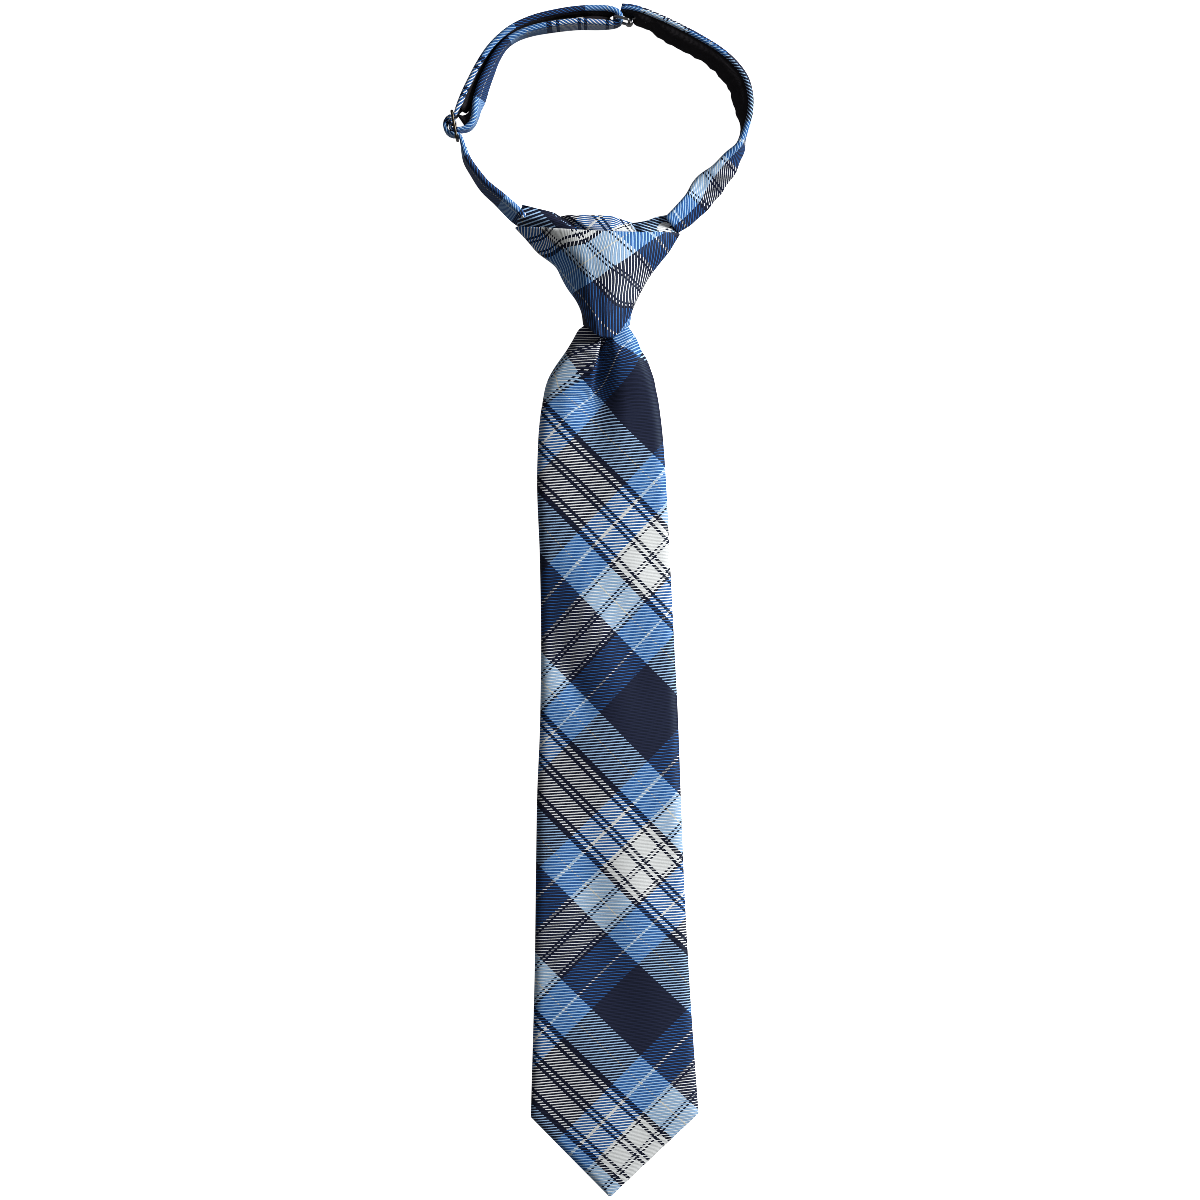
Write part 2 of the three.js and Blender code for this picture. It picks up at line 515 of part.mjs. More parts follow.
// A smooth run through the stations, in steps of about STATION_STEP, with every column carried along.
function smoothStations(rows) {
  const keys = Object.keys(rows[0]);
  const far = (a, b) => Math.hypot(b.x - a.x, b.y - a.y);
  const slope = (i, key) => {
    const [before, after] = [rows[Math.max(0, i - 1)], rows[Math.min(rows.length - 1, i + 1)]];
    const length = (i > 0 ? far(before, rows[i]) : 0) + (i < rows.length - 1 ? far(rows[i], after) : 0);
    return (after[key] - before[key]) / length;
  };
  const made = [rows[0]];
  for (const i of range(rows.length - 1)) {
    const length = far(rows[i], rows[i + 1]);
    const steps = Math.max(1, Math.round(length / STATION_STEP));
    for (const step of range(steps)) {
      const t = (step + 1) / steps;
      const at = {};
      for (const key of keys) {
        const [a, b] = [rows[i][key], rows[i + 1][key]];
        const [leave, arrive] = [slope(i, key) * length, slope(i + 1, key) * length];
        at[key] = a * (2 * t ** 3 - 3 * t ** 2 + 1) + leave * (t ** 3 - 2 * t ** 2 + t)
          + b * (3 * t ** 2 - 2 * t ** 3) + arrive * (t ** 3 - t ** 2);
      }
      made.push({ ...at, lift: Math.max(0, at.lift) });
    }
  }
  return made;
}

// A band's section at a station. Across it u runs up from the lower edge and v towards the plaid face.
function channelSection({ wide, thick, threaded }) {
  const [edge, face] = [wide / 2, thick / 2];
  const floor = lerp(face - BAND_WALL, -face + THREADED_HOLLOW, threaded);
  const lip = edge - BAND_WALL;
  const soft = BAND_SOFT;
  return [
    [-edge, -face + soft], [-edge, face - soft], [-edge + soft, face], [edge - soft, face],
    [edge, face - soft], [edge, -face + soft], [edge - soft, -face], [lip, -face],
    [lip, floor], [-lip, floor], [-lip, -face], [-edge + soft, -face],
  ];
}

function liningSection({ wide, thick }) {
  const half = wide / 2 - BAND_WALL - GAP;
  const back = -thick / 2 + LINING_SUNK;
  return [[-half, back], [half, back], [half, back + LINING_THICKNESS], [-half, back + LINING_THICKNESS]];
}

function ribbon(stations, section) {
  const rings = stations.map((here, i) => {
    const [before, after] = [stations[Math.max(0, i - 1)], stations[Math.min(stations.length - 1, i + 1)]];
    const along = new THREE.Vector2(after.x - before.x, after.y - before.y).normalize();
    const lean = THREE.MathUtils.degToRad(here.lean);
    const side = new THREE.Vector3(-along.y, along.x, 0);
    const up = new THREE.Vector3(0, 0, Math.cos(lean)).addScaledVector(side, Math.sin(lean));
    const face = new THREE.Vector3(0, 0, -Math.sin(lean)).addScaledVector(side, Math.cos(lean));
    const height = here.lift + (here.wide * Math.cos(lean) + here.thick * Math.abs(Math.sin(lean))) / 2;
    const centre = new THREE.Vector3(here.x, here.y, height);
    return section(here).map(([u, v]) => centre.clone().addScaledVector(up, u).addScaledVector(face, v));
  });
  const outline = section(stations[0]);
  return loft(rings, { cap: capOf((p, j) => new THREE.Vector2(...outline[j])) });
}

const cutByKnot = (geometry) => fromManifold(toManifold(geometry).subtract(knotTrim()));

const leftStations = () => smoothStations([
  ...LEFT_FROM_KNOT,
  ...throughSlider(),
  ...LEFT_OUTER,
  ...ROUND_RING,
  ...LEFT_INNER,
  ...endOnSlider(),
].map(station));

const rightStations = () => smoothStations(RIGHT.map(station));

// The lined stretches of the left piece, as the runs of its stations that are not threaded.
function linedRuns(stations) {
  const runs = [[]];
  for (const here of stations) {
    if (here.threaded < 0.01) runs[runs.length - 1].push(here);
    else if (runs[runs.length - 1].length) runs.push([]);
  }
  return runs.filter((run) => run.length > 2);
}

// Metal

// A frame of wire standing upright on its lower rail, with one upright at each of the places given.
function wireFrame(places) {
  const [first, last] = [places[0], places[places.length - 1]];
  const length = Math.hypot(last.x - first.x, last.y - first.y);
  const wire = WIRE / 2;
  const [low, high, far, round] = [0, HARDWARE_HEIGHT, length + wire, FRAME_CORNER];
  const outline = new THREE.Shape();
  outline.moveTo(-wire + round, low);
  outline.lineTo(far - round, low);
  outline.quadraticCurveTo(far, low, far, low + round);
  outline.lineTo(far, high - round);
  outline.quadraticCurveTo(far, high, far - round, high);
  outline.lineTo(-wire + round, high);
  outline.quadraticCurveTo(-wire, high, -wire, high - round);
  outline.lineTo(-wire, low + round);
  outline.quadraticCurveTo(-wire, low, -wire + round, low);
  const plate = new THREE.ExtrudeGeometry(outline, { depth: WIRE, bevelEnabled: false, curveSegments: 3 });
  plate.translate(0, 0, -wire);
  let frame = toManifold(plate);
  const steps = places.map((place) => Math.hypot(place.x - first.x, place.y - first.y));
  for (const i of range(places.length - 1)) {
    const window = new THREE.BoxGeometry(steps[i + 1] - steps[i] - WIRE, high - 2 * WIRE, 3 * WIRE);
    window.translate((steps[i] + steps[i + 1]) / 2, high / 2, 0);
    frame = frame.subtract(toManifold(window));
  }
  const geometry = fromManifold(frame);
  geometry.rotateX(Math.PI / 2);
  geometry.rotateZ(Math.atan2(last.y - first.y, last.x - first.x));
  geometry.translate(first.x, first.y, 0);
  return geometry;
}

function hook() {
  const radius = WIRE / 2 + GAP + HOOK_THICKNESS / 2;
  const path = [...HOOK_SHANK, ...arcStations(RING_RIGHT_BAR, radius, 10, -150, 8, { lean: 0 })];
  const rows = path.map((p) => ({ ...p, wide: HOOK_HEIGHT, thick: HOOK_THICKNESS, lift: HOOK_LOW }));
  const half = [HOOK_HEIGHT / 2, HOOK_THICKNESS / 2];
  const section = () => [[-half[0], -half[1]], [half[0], -half[1]], [half[0], half[1]], [-half[0], half[1]]];
  return ribbon(rows, section);
}

// Assembly

function piece(name, geometry, look) {
  const mesh = new THREE.Mesh(geometry, look);
  mesh.name = name;
  return mesh;
}

const tie = new THREE.Group();
tie.name = 'pre_tied_necktie';
tie.add(piece('blade', blade(), TARTAN));

const knot = new THREE.Group();
knot.add(piece('knot_wrap', knotWrap(), TARTAN_LIGHT));
knot.add(piece('knot_fold', knotFold(), TARTAN_DARK));
tie.add(knot);

const neckBand = new THREE.Group();
const left = leftStations();
const right = rightStations();
neckBand.add(piece('left_strap', cutByKnot(ribbon(left, channelSection)), TARTAN_DARK));
neckBand.add(piece('right_strap', cutByKnot(ribbon(right, channelSection)), TARTAN_DARK));
linedRuns(left).forEach((run, i) => {
  neckBand.add(piece(`left_lining_${i + 1}`, cutByKnot(ribbon(run, liningSection)), LINING));
});
neckBand.add(piece('right_lining', cutByKnot(ribbon(right, liningSection)), LINING));
neckBand.add(piece('slider', wireFrame([SLIDER_LOWER_BAR, SLIDER_MIDDLE_BAR, SLIDER_TOP_BAR]), DARK_METAL));
neckBand.add(piece('ring', wireFrame([RING_LEFT_BAR, RING_RIGHT_BAR]), BRIGHT_METAL));
neckBand.add(piece('hook', hook(), BRIGHT_METAL));
tie.add(neckBand);

export default tie;
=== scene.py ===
# A boy's pre-tied necktie in a tartan twill. It lies on its back on a pale floor, with its neck band
# standing open behind the knot, and is seen from straight above.
# Lengths are in millimetres until a mesh is made, and in metres from there on.
import math

import bpy
import numpy as np
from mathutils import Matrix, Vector


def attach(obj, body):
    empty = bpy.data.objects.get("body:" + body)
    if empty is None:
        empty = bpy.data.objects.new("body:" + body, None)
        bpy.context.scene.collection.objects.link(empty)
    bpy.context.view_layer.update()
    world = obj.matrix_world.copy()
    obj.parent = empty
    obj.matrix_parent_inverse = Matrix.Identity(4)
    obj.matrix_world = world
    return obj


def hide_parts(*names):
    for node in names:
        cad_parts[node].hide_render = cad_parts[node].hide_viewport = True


# The photograph: its pixels run right and down, and this pixel lies over the origin
PIXEL = 0.42
ORIGIN_PIXEL = (599.0, 599.5)
CAMERA_HEIGHT = 1680
CAMERA_OFF = (0.42, -0.21)
LENS = 120
SENSOR = 36

# Tartan: each family of threads as (colour, threads) from the start of its dark stripe, the width of one
# thread, and the place in the cloth where that stripe starts
FALLING_SETT = [
    ("navy", 62), ("sky", 19), ("cream", 1), ("sky", 19), ("black", 5), ("white", 4), ("black", 3),
    ("white", 17), ("black", 3), ("white", 3), ("black", 3), ("white", 17), ("black", 3), ("white", 4),
    ("black", 5), ("sky", 18), ("cream", 1), ("sky", 18),
]
FALLING_THREAD = 0.45
FALLING_START = 174.3
RISING_SETT = [
    ("ink", 75), ("royal", 20), ("white", 3), ("royal", 23), ("white", 3), ("black", 2), ("white", 20),
    ("black", 2), ("white", 2), ("black", 2), ("white", 19), ("black", 2), ("white", 2), ("black", 3),
    ("royal", 24), ("white", 2), ("royal", 20),
]
RISING_THREAD = 0.3885
RISING_START = 121.4
YARN = {
    "white": (0.68, 0.70, 0.70),
    "cream": (0.60, 0.58, 0.48),
    "black": (0.007, 0.008, 0.020),
    "navy": (0.014, 0.017, 0.040),
    "ink": (0.012, 0.014, 0.030),
    "sky": (0.285, 0.440, 0.640),
    "royal": (0.026, 0.108, 0.330),
}
RAMP_STOPS = 32
# Share of each twill rib that shows the falling and the rising threads. The darker thread shows between
# them, as painted shade where the yarns dive down, and a thread that lies over a dark one is painted
# lighter by this much, as a painted highlight.
FALLING_SHARE = 0.35
RISING_SHARE = 0.22
PAINTED_HIGHLIGHT_OVER_DARK = 0.45
RIB_THREADS = 4
# Painted shade and highlight of the twill: its brightness in the furrows (painted shade), what a rib's
# ridge adds to it (painted highlight), and what a yarn may add at random
PAINTED_FURROW_SHADE = 0.69
PAINTED_RIDGE_HIGHLIGHT = 0.27
YARN_TONE = 0.10
LINING_WEAVE = 0.6
LINING_COLOURS = ((0.010, 0.009, 0.011, 1), (0.026, 0.023, 0.026, 1))
BRIGHT_METAL = ((0.16, 0.16, 0.17, 1), (0.34, 0.34, 0.35, 1), 0.24)
DARK_METAL = ((0.030, 0.025, 0.018, 1), (0.085, 0.072, 0.052, 1), 0.35)

# Light, in metres and watts
KEY_PLACE = (2.3, 1.0, 1.25)
KEY_SIZE = 0.7
KEY_POWER = 125
WORLD_LIGHT = 0.17
FLOOR_SIDE = 6.0

# Blade, as in the part's source
CLOTH = 1.2
CLOTH_SHARE = 0.4
SLIT = 0.8
HEM = 4
TIP_CORNERS = {"left": -28.6, "left_y": -217.2, "right": 41.8, "right_y": -215.6, "thick": 3.0}
TIP_POINT = (4.6, -250.9)
TIP_END_WIDTH = 1.2
TIP_END_THICK = 2.4
SLANT_FROM = -150
SHOULDER = 4.0
EDGE_SHARE = 0.3
PLEAT_STEEP = 0.35
PLEAT_RUN = {"high": 6.2, "low": 11.0, "from_y": 107.0, "to_y": 99.0}
PLEAT_ROUND = 1.3
PLEAT_TUCK = 1.5
TROUGH = {"x": -1.5, "left": 14.0, "right": 13.0, "y": 82.0, "up": 18.0, "down": 32.0, "deep": 3.6}
# Soft swells of the front, or dents where high is below 0. slant is how much each leans over.
SWELL_COLUMNS = ("x", "y", "wide", "long", "slant", "high")
SWELLS = [
    (15.0, 96.0, 9.0, 12.0, 0.0, 1.2), (-12.5, -33.0, 6.0, 17.0, 0.45, -1.4),
    (2.6, -24.0, 9.0, 26.0, 0.28, 1.7), (-3.4, -130.0, 12.0, 26.0, 0.1, -1.7),
]
# Waves over the front as (height, length, direction in degrees, start)
WAVES = [(0.45, 62.0, 66, 0.8), (0.32, 47.0, -40, 2.1), (0.22, 31.0, 12, 4.0)]
WAVES_START = 85.0
WAVES_FULL = 60.0
FRONT_POINTS = 48
SHOULDER_POINTS = 7
UNDER_POINTS = 4
BACK_POINTS = 7
ROW_STEP = 1.5
# pleat is the x of the pleat's steep side. A row may leave out its last values, which are then these.
BLADE_ROW = {"y": 0, "left": 0, "right": 0, "crown": 2.2, "thick": 3.6, "base": 0, "pleat": -3.0, "deep": 0}
BLADE = [
    (122.0, -3.8, 9.8, 0.3, 4.2, 5.4, 1.0, 1.6), (117.0, -4.2, 10.4, 0.4, 4.4, 5.4, 1.0, 2.2),
    (115.4, -4.4, 10.8, 0.4, 4.6, 5.3, 1.0, 2.4), (114.2, -6.8, 12.3, 0.6, 4.8, 5.2, 0.9, 2.8),
    (112.8, -8.5, 13.2, 0.8, 5.0, 5.0, 0.9, 3.2), (108.6, -10.9, 15.9, 1.3, 5.2, 4.7, 0.6, 3.8),
    (104.5, -13.4, 17.6, 2.2, 5.0, 4.2, 0.1, 4.4), (100.4, -16.3, 20.1, 2.8, 4.8, 3.6, -0.8, 4.2),
    (96.2, -19.2, 21.7, 3.0, 4.6, 2.9, -1.8, 3.4), (92.1, -21.4, 23.1, 2.8, 4.4, 2.2, -2.3, 2.2),
    (88.0, -22.7, 23.9, 2.7, 4.2, 1.6, -2.6, 0.8), (83.8, -23.5, 24.8, 2.6, 4.0, 1.0, -2.8, 0.2),
    (75.4, -24.8, 26.0, 2.5, 3.8, 0.4), (67.0, -25.5, 26.9, 2.4), (50.0, -26.0, 28.1, 2.3),
    (16.6, -24.8, 29.8), (-17.0, -24.3, 31.5), (-50.6, -24.7, 33.2), (-84.0, -26.0, 34.4),
    (-118.0, -26.5, 35.7), (-151.0, -26.9, 37.4), (-180.0, -27.6, 39.2, 2.0, 3.5),
    (-204.0, -28.3, 40.9, 1.6, 3.2),
]

# Knot, as in the part's source: the wrap's sections from its lower to its top edge
WRAP = 1.5
KNOT_COLUMNS = ("left", "left_y", "right", "right_y", "sag", "front", "back", "full")
KNOT = [
    (-6.7, 115.1, 13.0, 115.1, 5.4, 13.6, 1.6, 2.6),
    (-7.5, 120.1, 13.8, 120.1, 4.4, 14.8, 1.2, 2.6),
    (-9.7, 125.0, 15.9, 125.0, 3.4, 15.7, 0.8, 2.5),
    (-13.2, 130.0, 18.4, 130.0, 2.6, 16.3, 0.4, 2.4),
    (-17.0, 136.4, 21.6, 135.5, 2.0, 16.7, 0.1, 2.3),
    (-21.4, 141.4, 25.3, 140.4, 1.6, 16.9, 0, 2.2),
    (-26.1, 145.5, 29.2, 145.2, 1.4, 16.9, 0, 2.1),
    (-30.2, 150.3, 31.8, 149.4, 1.3, 16.6, 0, 2.0),
    (-35.1, 155.6, 33.8, 152.7, 1.3, 15.8, 0.2, 2.0),
]
WRAP_ROWS = 64
# How far the knot's front (top) and its side edges (edge) sink to each side, from these shares of the half
# width on. The falls grow from start to full, and weaken to a share of that from the edge to the crest.
FALL = {"left": {"top": 5.5, "ridge": 0.25, "edge": 4.8, "edge_from": 0.35},
        "right": {"top": 5.0, "ridge": 0.1, "edge": 2.5, "edge_from": 0.4}}
FALL_ALONG = {"start": 120.0, "full": 138.0, "edge": 155.5, "crest": 159.5, "share": 0.25}
MOUTH_SWELL = {"x": 0.0, "wide": 10.0, "high": 2.2, "start": 115.0, "end": 134.0}
WRAP_DENT = {"y": 139.5, "long": 3.2, "deep": 1.1, "start": 2.0, "full": 14.0}
# The wrap's pulls as (height, how close together, start) over a fan that opens upwards
PULLS = [(0.2, 9.5, 0.6), (0.1, 17.0, 2.2)]
PULL_FAN = {"x": 3.2, "y": 112.0, "wide": 8.0, "opening": 0.62, "full": 128.0, "end": 158.0}
WRAP_FRONT = (4, 12)
KNOT_RING = 240
FOLD_FRONT = KNOT_RING // 4
EDGE_ROWS = 6
FOLD_INSIDE = {"start": 0.45, "rows": 12}
FOLD_COLUMNS = ("rise", "left", "right", "front", "back")
FOLD_SHAPE = [
    (0.3, -34.2, 31.8, 14.6, 2.2), (0.6, -33.8, 30.8, 13.8, 3.0), (0.85, -33.0, 29.5, 12.0, 4.6),
    (1.0, -32.2, 28.4, 9.8, 6.6),
]
FOLD_FULL = 2.0
FOLD_SAG_SHARE = 0.5
FOLD_FIRST_RISE = 0.22
FOLD_ROWS = 26
FOLD_TOP_ROWS = 7
FOLD_TOP_ROUND = 0.8
FOLD_TOP_THIN = 0.02
CREST = [
    (-32.2, 164.3), (-25.9, 162.7), (-18.6, 160.9), (-16.2, 159.6), (-12.4, 159.9), (4.6, 159.7),
    (10.9, 157.6), (14.6, 156.8), (19.2, 157.4), (24.2, 159.1), (28.4, 159.9),
]
CREASE_COLUMNS = ("x", "y", "drift", "deep", "wide")
CREASES = [(-15.6, 160.0, 1.5, 2.8, 2.2), (15.0, 155.5, 0.54, 3.0, 1.6)]
CREASE_FRONT = (6, 11)
CREASE_ALONG = (148, 154)

# Neck band, as in the part's source
BAND_WIDTH = 14
BAND_THICKNESS = 2.5
BAND_WALL = 1.0
BAND_LIP = 1.3
THREADED_WIDTH = 12.6
THREADED_THICKNESS = 1.6
THREADED_LIFT = 1.9
THREADED_WALL = 0.05
BAND_STEP = 1.4
EDGE_POINTS = 7
FACE_POINTS = 12
WIRE = 1.2
WIRE_SIDES = 12
CORNER = 1.0
CORNER_POINTS = 5
ANY_WAY = (0.123, 0.456, 0.789)
GAP = 0.35
NEAR_BAR = WIRE / 2 + GAP + THREADED_THICKNESS / 2
END_TURN = (-80, -290)
HARDWARE_HEIGHT = 16.2
UPRIGHT = {"share": 0.95, "points": 6}
SLIDER_BARS = [(-59.3, 192.4), (-60.4, 197.9), (-61.3, 203.4)]
RING_BARS = [(6.5, 242.9), (12.6, 241.3)]
HOOK_HEIGHT = 6
HOOK_LOW = 4.5
HOOK_THICKNESS = 0.7
HOOK_SHANK = [(19.4, 241.0, -16), (17.2, 241.9, -15), (15.2, 242.5, -10), (14.2, 242.3, -4)]
HOOK_CURL = (10, -150, 17)
HOOK_EDGE_POINTS = 5
# Stations run with the plaid face on their left. lean is in degrees, and lift is the lower edge's height, or
# None for one that goes with the width. A row may leave out its last values, which are then these.
STATION = {"x": 0, "y": 0, "lean": 0, "wide": BAND_WIDTH, "lift": None, "threaded": 0}
LEAN, WIDE, LIFT, THREADED, RUN = range(2, 7)
LEFT_FROM_KNOT = [
    (-29.6, 156.8, -34, 7.0, 0.6), (-34.6, 160.8, -26, 11.6, 0.9), (-41.6, 167.4, -16),
    (-47.7, 172.8, -12.5), (-52.2, 178.9, -8), (-55.4, 184.3, -5),
]
LEFT_OUTER = [
    (-57.2, 207.4, 6, 13.4), (-55.4, 211.4, 7), (-53.0, 216.4, 7), (-50.2, 222.2, 5), (-46.2, 228.9, 3),
    (-41.4, 234.3, 2), (-35.8, 238.6, 2), (-28.4, 242.0, 2), (-20.1, 244.3, 2), (-9.0, 246.1, 2),
    (0.4, 246.5, 1, 13.4),
]
ROUND_RING = [(4.6, 246.2, 0, 12.6), (7.4, 245.2, 0, 12.6), (8.9, 243.3, 0, 12.6), (8.4, 241.4, 0, 12.6),
              (6.2, 240.4, 0, 12.6)]
LEFT_INNER = [
    (0.4, 240.3, -3, 13.4), (-9.0, 240.6, -5), (-20.1, 239.4, -5), (-28.6, 237.7, -3), (-34.8, 235.3, -1),
    (-39.5, 231.8, -1), (-43.2, 226.4, -4), (-46.0, 220.4, -9), (-48.4, 214.4, -12), (-50.0, 209.0, -12),
    (-51.2, 205.0, -6, 13.4), (-51.7, 202.2, -3, 13), (-52.7, 199.4, -1, 12.6), (-54.6, 197.2, 0, 12.6),
    (-57.2, 196.2, 0, 12.6, None, 1),
]
RIGHT = [
    (9.3, 246.9, 4, 13.4), (12.6, 245.9, 12), (17.6, 244.0, 18), (25.5, 240.7, 19), (33.7, 236.9, 18),
    (42.0, 232.4, 18), (49.5, 227.6, 19), (55.3, 222.2, 21), (59.3, 216.4, 22), (61.3, 209.8, 19),
    (62.0, 203.8, 11), (61.6, 198.2, 3), (60.4, 193.2, -3), (58.8, 188.8, -10), (55.6, 184.0, -27),
    (50.8, 177.8, -39), (44.9, 172.0, -54, 14.4), (40.4, 165.9, -52, 13.0, 0.5),
    (35.8, 161.2, -50, 12.2, 1.6), (30.2, 156.4, -48, 10.5, 2.8),
]
# The right band waves in and out below this share of its width
RUFFLED_SHARE = 0.8
RUFFLE = 9.5
RIGHT_WAVE = 0.45
LINING_POINTS = 9
LINING_IN = {"side": 1.4, "back": 0.15, "thick": 1.0}
MIN_LINED_STEPS = 8
MAX_LINED_THREADING = 0.6
# How far the linings swell out of the band. A bump is (height, length run to its middle, how long), and
# the last one's middle is counted from the loop's end. The right lining's stretches are (height, then the
# lengths run where it starts, is full, fades and ends), and its waves (height, length, start).
STRAP_SWELL = 0.3
LOOP_SWELL = {"least": 0.15, "high": 0.9, "wave": 0.2, "wave_long": 2.6, "from_ring": (4, 6.5)}
LOOP_FIRST_BUMP = (2.0, 6, 9)
LOOP_LAST_BUMP = (5.6, -0.5, 5.0)
LOOP_AT_RING = {"high": 1.3, "fade": (12, 18)}
RIGHT_SWELL = 0.6
RIGHT_OVER_HOOK = (2.0, 5.5, 8.0, 12.5, 15.5)
RIGHT_HANGING = (3.2, 12, 20, 66, 84)
RIGHT_WAVES = [(0.06, 1.15, 0), (0.04, 0.73, 1), (0.06, 3.7, 0)]
RIGHT_LOWER_SHARE = 0.4

# Where the tartan lies on each piece. A chart gives, for each family of threads, its place in the cloth at
# one pixel of the photograph, the way it grows there in degrees (0 is right, 90 is up) and by how much.
BLADE_CHART = {"falling": (207.8, 599, 599.5, 45, 1.0), "rising": (88.7, 599, 599.5, -45, 1.0)}
WRAP_CHART = {"falling": (165.9, 598, 254, -56, 1.05), "rising": (92.3, 603.8, 259.6, -133.8, 1.06)}
FOLD_CHART = {"falling": (130.65, 573.5, 223.2, 45, 1.32), "rising": (83.0, 620.5, 223.1, -45, 1.38)}
FOLD_BEND = (590, 384)
LEFT_LOBE_CHART = {"falling": (174.3, 549, 220, 45, 1.0), "rising": (136.0, 549, 220, -20, 1.0)}
LEFT_LOBE_EDGE = ((553, 214), (579, 235))
RIGHT_LOBE_CHART = {"falling": (118.5, 648, 226, 25, 1.0), "rising": (136.0, 648, 226, -68, 1.0)}
RIGHT_LOBE_EDGE = ((630, 221), (638, 236))
WHITE_PATCH_CHART = {"falling": (136.5, 663, 228, 20, 1.0), "rising": (90.0, 663, 228, -55, 1.0)}
WHITE_PATCH = (664.5, 230.0, 8.0, 7.5)
# How far the blade's threads stray from straight lines: at each height in the photograph, the falling
# threads at the left and the right, and the rising threads at the left and the right
BLADE_DRIFT_AT = (565, 640)
BLADE_DRIFT_SHARES = (-0.5, 1.5)
BLADE_DRIFT = [
    (440, -0.6, -0.5, 1.4, 2.1), (530, -1.5, -0.9, 0.9, 0.9), (600, -1.4, -0.9, -0.5, -0.1),
    (680, -0.2, -0.6, -1.5, -0.8), (770, 0.0, 0.3, -1.0, -0.7), (880, -0.7, 0.1, -0.1, -0.9),
    (1000, -2.0, -1.9, 0.2, 0.4), (1080, -2.7, -2.6, 0.6, 1.1), (1180, -4.7, -4.7, 1.4, 1.4),
]
# Lines that the photograph shows on the folded cloth: the family, the place in the cloth, and pixels on the
# line. They draw the tartan over within SPREAD pixels.
SPREAD = 22.0
SPREAD_EASE = 0.02
OUT_OF_SIGHT = 1e6
BLADE_LINES = [
    ("rising", 5.3, [(553, 373), (562, 363), (572, 355), (581, 350), (590, 347), (599, 343.5)]),
    ("rising", 15.2, [(546, 401), (556, 393), (565, 386), (578, 377), (586, 371.5), (594, 366)]),
    ("rising", 26.2, [(558, 427), (568, 417), (580, 405), (593, 394), (601, 386.5), (606, 380), (610, 371),
                      (614, 362), (617.4, 353.6), (623, 347)]),
    ("rising", 34.4, [(640, 358), (636, 366), (628, 374), (622, 383), (612, 395), (600, 409), (590, 421)]),
    ("falling", 266.6, [(563, 351), (571, 360), (577, 368), (580, 375), (587, 384), (596, 393), (604, 403),
                        (612, 412), (622, 424)]),
    ("falling", 294.4, [(613, 338), (622, 346), (632, 352), (640, 357), (647, 361)]),
]
WRAP_LINES = [
    ("rising", 71.9, [(655, 236.5), (661, 243), (668, 251)]),
    ("rising", 83.0, [(611, 234), (618, 240), (630, 251), (640, 259), (650, 271)]),
    ("rising", 92.3, [(575, 231.5), (583, 240), (600, 257), (611, 267), (624, 275), (640, 289)]),
    ("rising", 102.2, [(543, 229), (552, 238), (560, 246), (578, 265), (596, 281), (613, 299),
                       (633, 310.5)]),
    ("rising", 64, [(681, 243)]),
    ("falling", 142.6, [(545, 235), (536, 239), (527, 243)]),
    ("falling", 155.0, [(594.4, 232), (575, 239.5), (558.7, 246), (546, 253), (538, 257)]),
    ("falling", 165.9, [(579, 266), (590, 258.5), (603, 250), (615, 241.5)]),
    ("falling", 174.3, [(598, 278), (613, 267), (629, 256)]),
]
# Each strap's cloth: a place with the cloth's place along the strap there, and the one along its middle. A
# shift is (distance, and the lengths run between which it fades). The turn in's lengths are from the end.
LEFT_PAIR = ((-7.1, 240.5), 142.7)
LEFT_ACROSS = 109.5
LEFT_SLACK = (8.0, 40, 160)
LEFT_GATHER = (12.0, 6, 20)
RIGHT_PAIR = ((49.5, 177.0), 89.2)
RIGHT_ACROSS = 178.5
RIGHT_SLANT = (3.5, 55, 95)
RIGHT_TURN_IN = (4.5, 34, 16)


# Numbers along curves

def curve_through(xs, ys, at, hug=True):
    """Smooth values at the places given, through rows of numbers. With hug set they keep to their range."""
    xs, ys, at = np.asarray(xs, float), np.asarray(ys, float), np.asarray(at, float)
    step = np.diff(xs)[:, None]
    rise = np.diff(ys, axis=0) / step
    if hug:
        together = rise[:-1] * rise[1:]
        total = np.where(together > 0, rise[:-1] + rise[1:], 1)
        middle = np.where(together > 0, 2 * together / total, 0)
    else:
        middle = (ys[2:] - ys[:-2]) / (step[1:] + step[:-1])
    slope = np.vstack([rise[:1], middle, rise[-1:]])
    i = np.clip(np.searchsorted(xs, at, side="right") - 1, 0, len(step) - 1)
    t = ((at - xs[i]) / step[i, 0])[:, None]
    start, end = ys[i], ys[i + 1]
    leave, arrive = slope[i] * step[i], slope[i + 1] * step[i]
    return (start * (2 * t**3 - 3 * t**2 + 1) + leave * (t**3 - 2 * t**2 + t)
            + end * (3 * t**2 - 2 * t**3) + arrive * (t**3 - t**2))


def ease(x, start, end):
    """0 before start, 1 after end, and smooth between them."""
    t = np.clip((np.asarray(x, float) - start) / (end - start), 0, 1)
    return t * t * (3 - 2 * t)


def plateau(x, high, start, full, fade, end):
    """0 before start, high from full to fade, 0 after end, and smooth between them."""
    return high * ease(x, start, full) * (1 - ease(x, fade, end))


def bell(x, middle, wide):
    """1 at the middle, and dying away from it on both sides."""
    return np.exp(-((x - middle) / wide) ** 2)


def filled(defaults, rows):
    """Rows with named values, where a row may leave out its last ones."""
    return [{**defaults, **dict(zip(defaults, row))} for row in rows]


def paired(first, second):
    """Two grids of numbers as pairs, with the smaller one spread over the other."""
    return np.stack(np.broadcast_arrays(first, second), -1)


def arc_length(points):
    """The length run along each row of points, from its first column."""
    steps = np.linalg.norm(np.diff(points, axis=-2), axis=-1)
    return np.concatenate([np.zeros(steps.shape[:-1] + (1,)), np.cumsum(steps, axis=-1)], axis=-1)


# Meshes

def signed_volume(points, faces):
    a, b, c, d = (points[faces[:, k]] for k in range(4))
    return np.einsum("ij,ij->", a, np.cross(b, c)) + np.einsum("ij,ij->", a, np.cross(c, d))


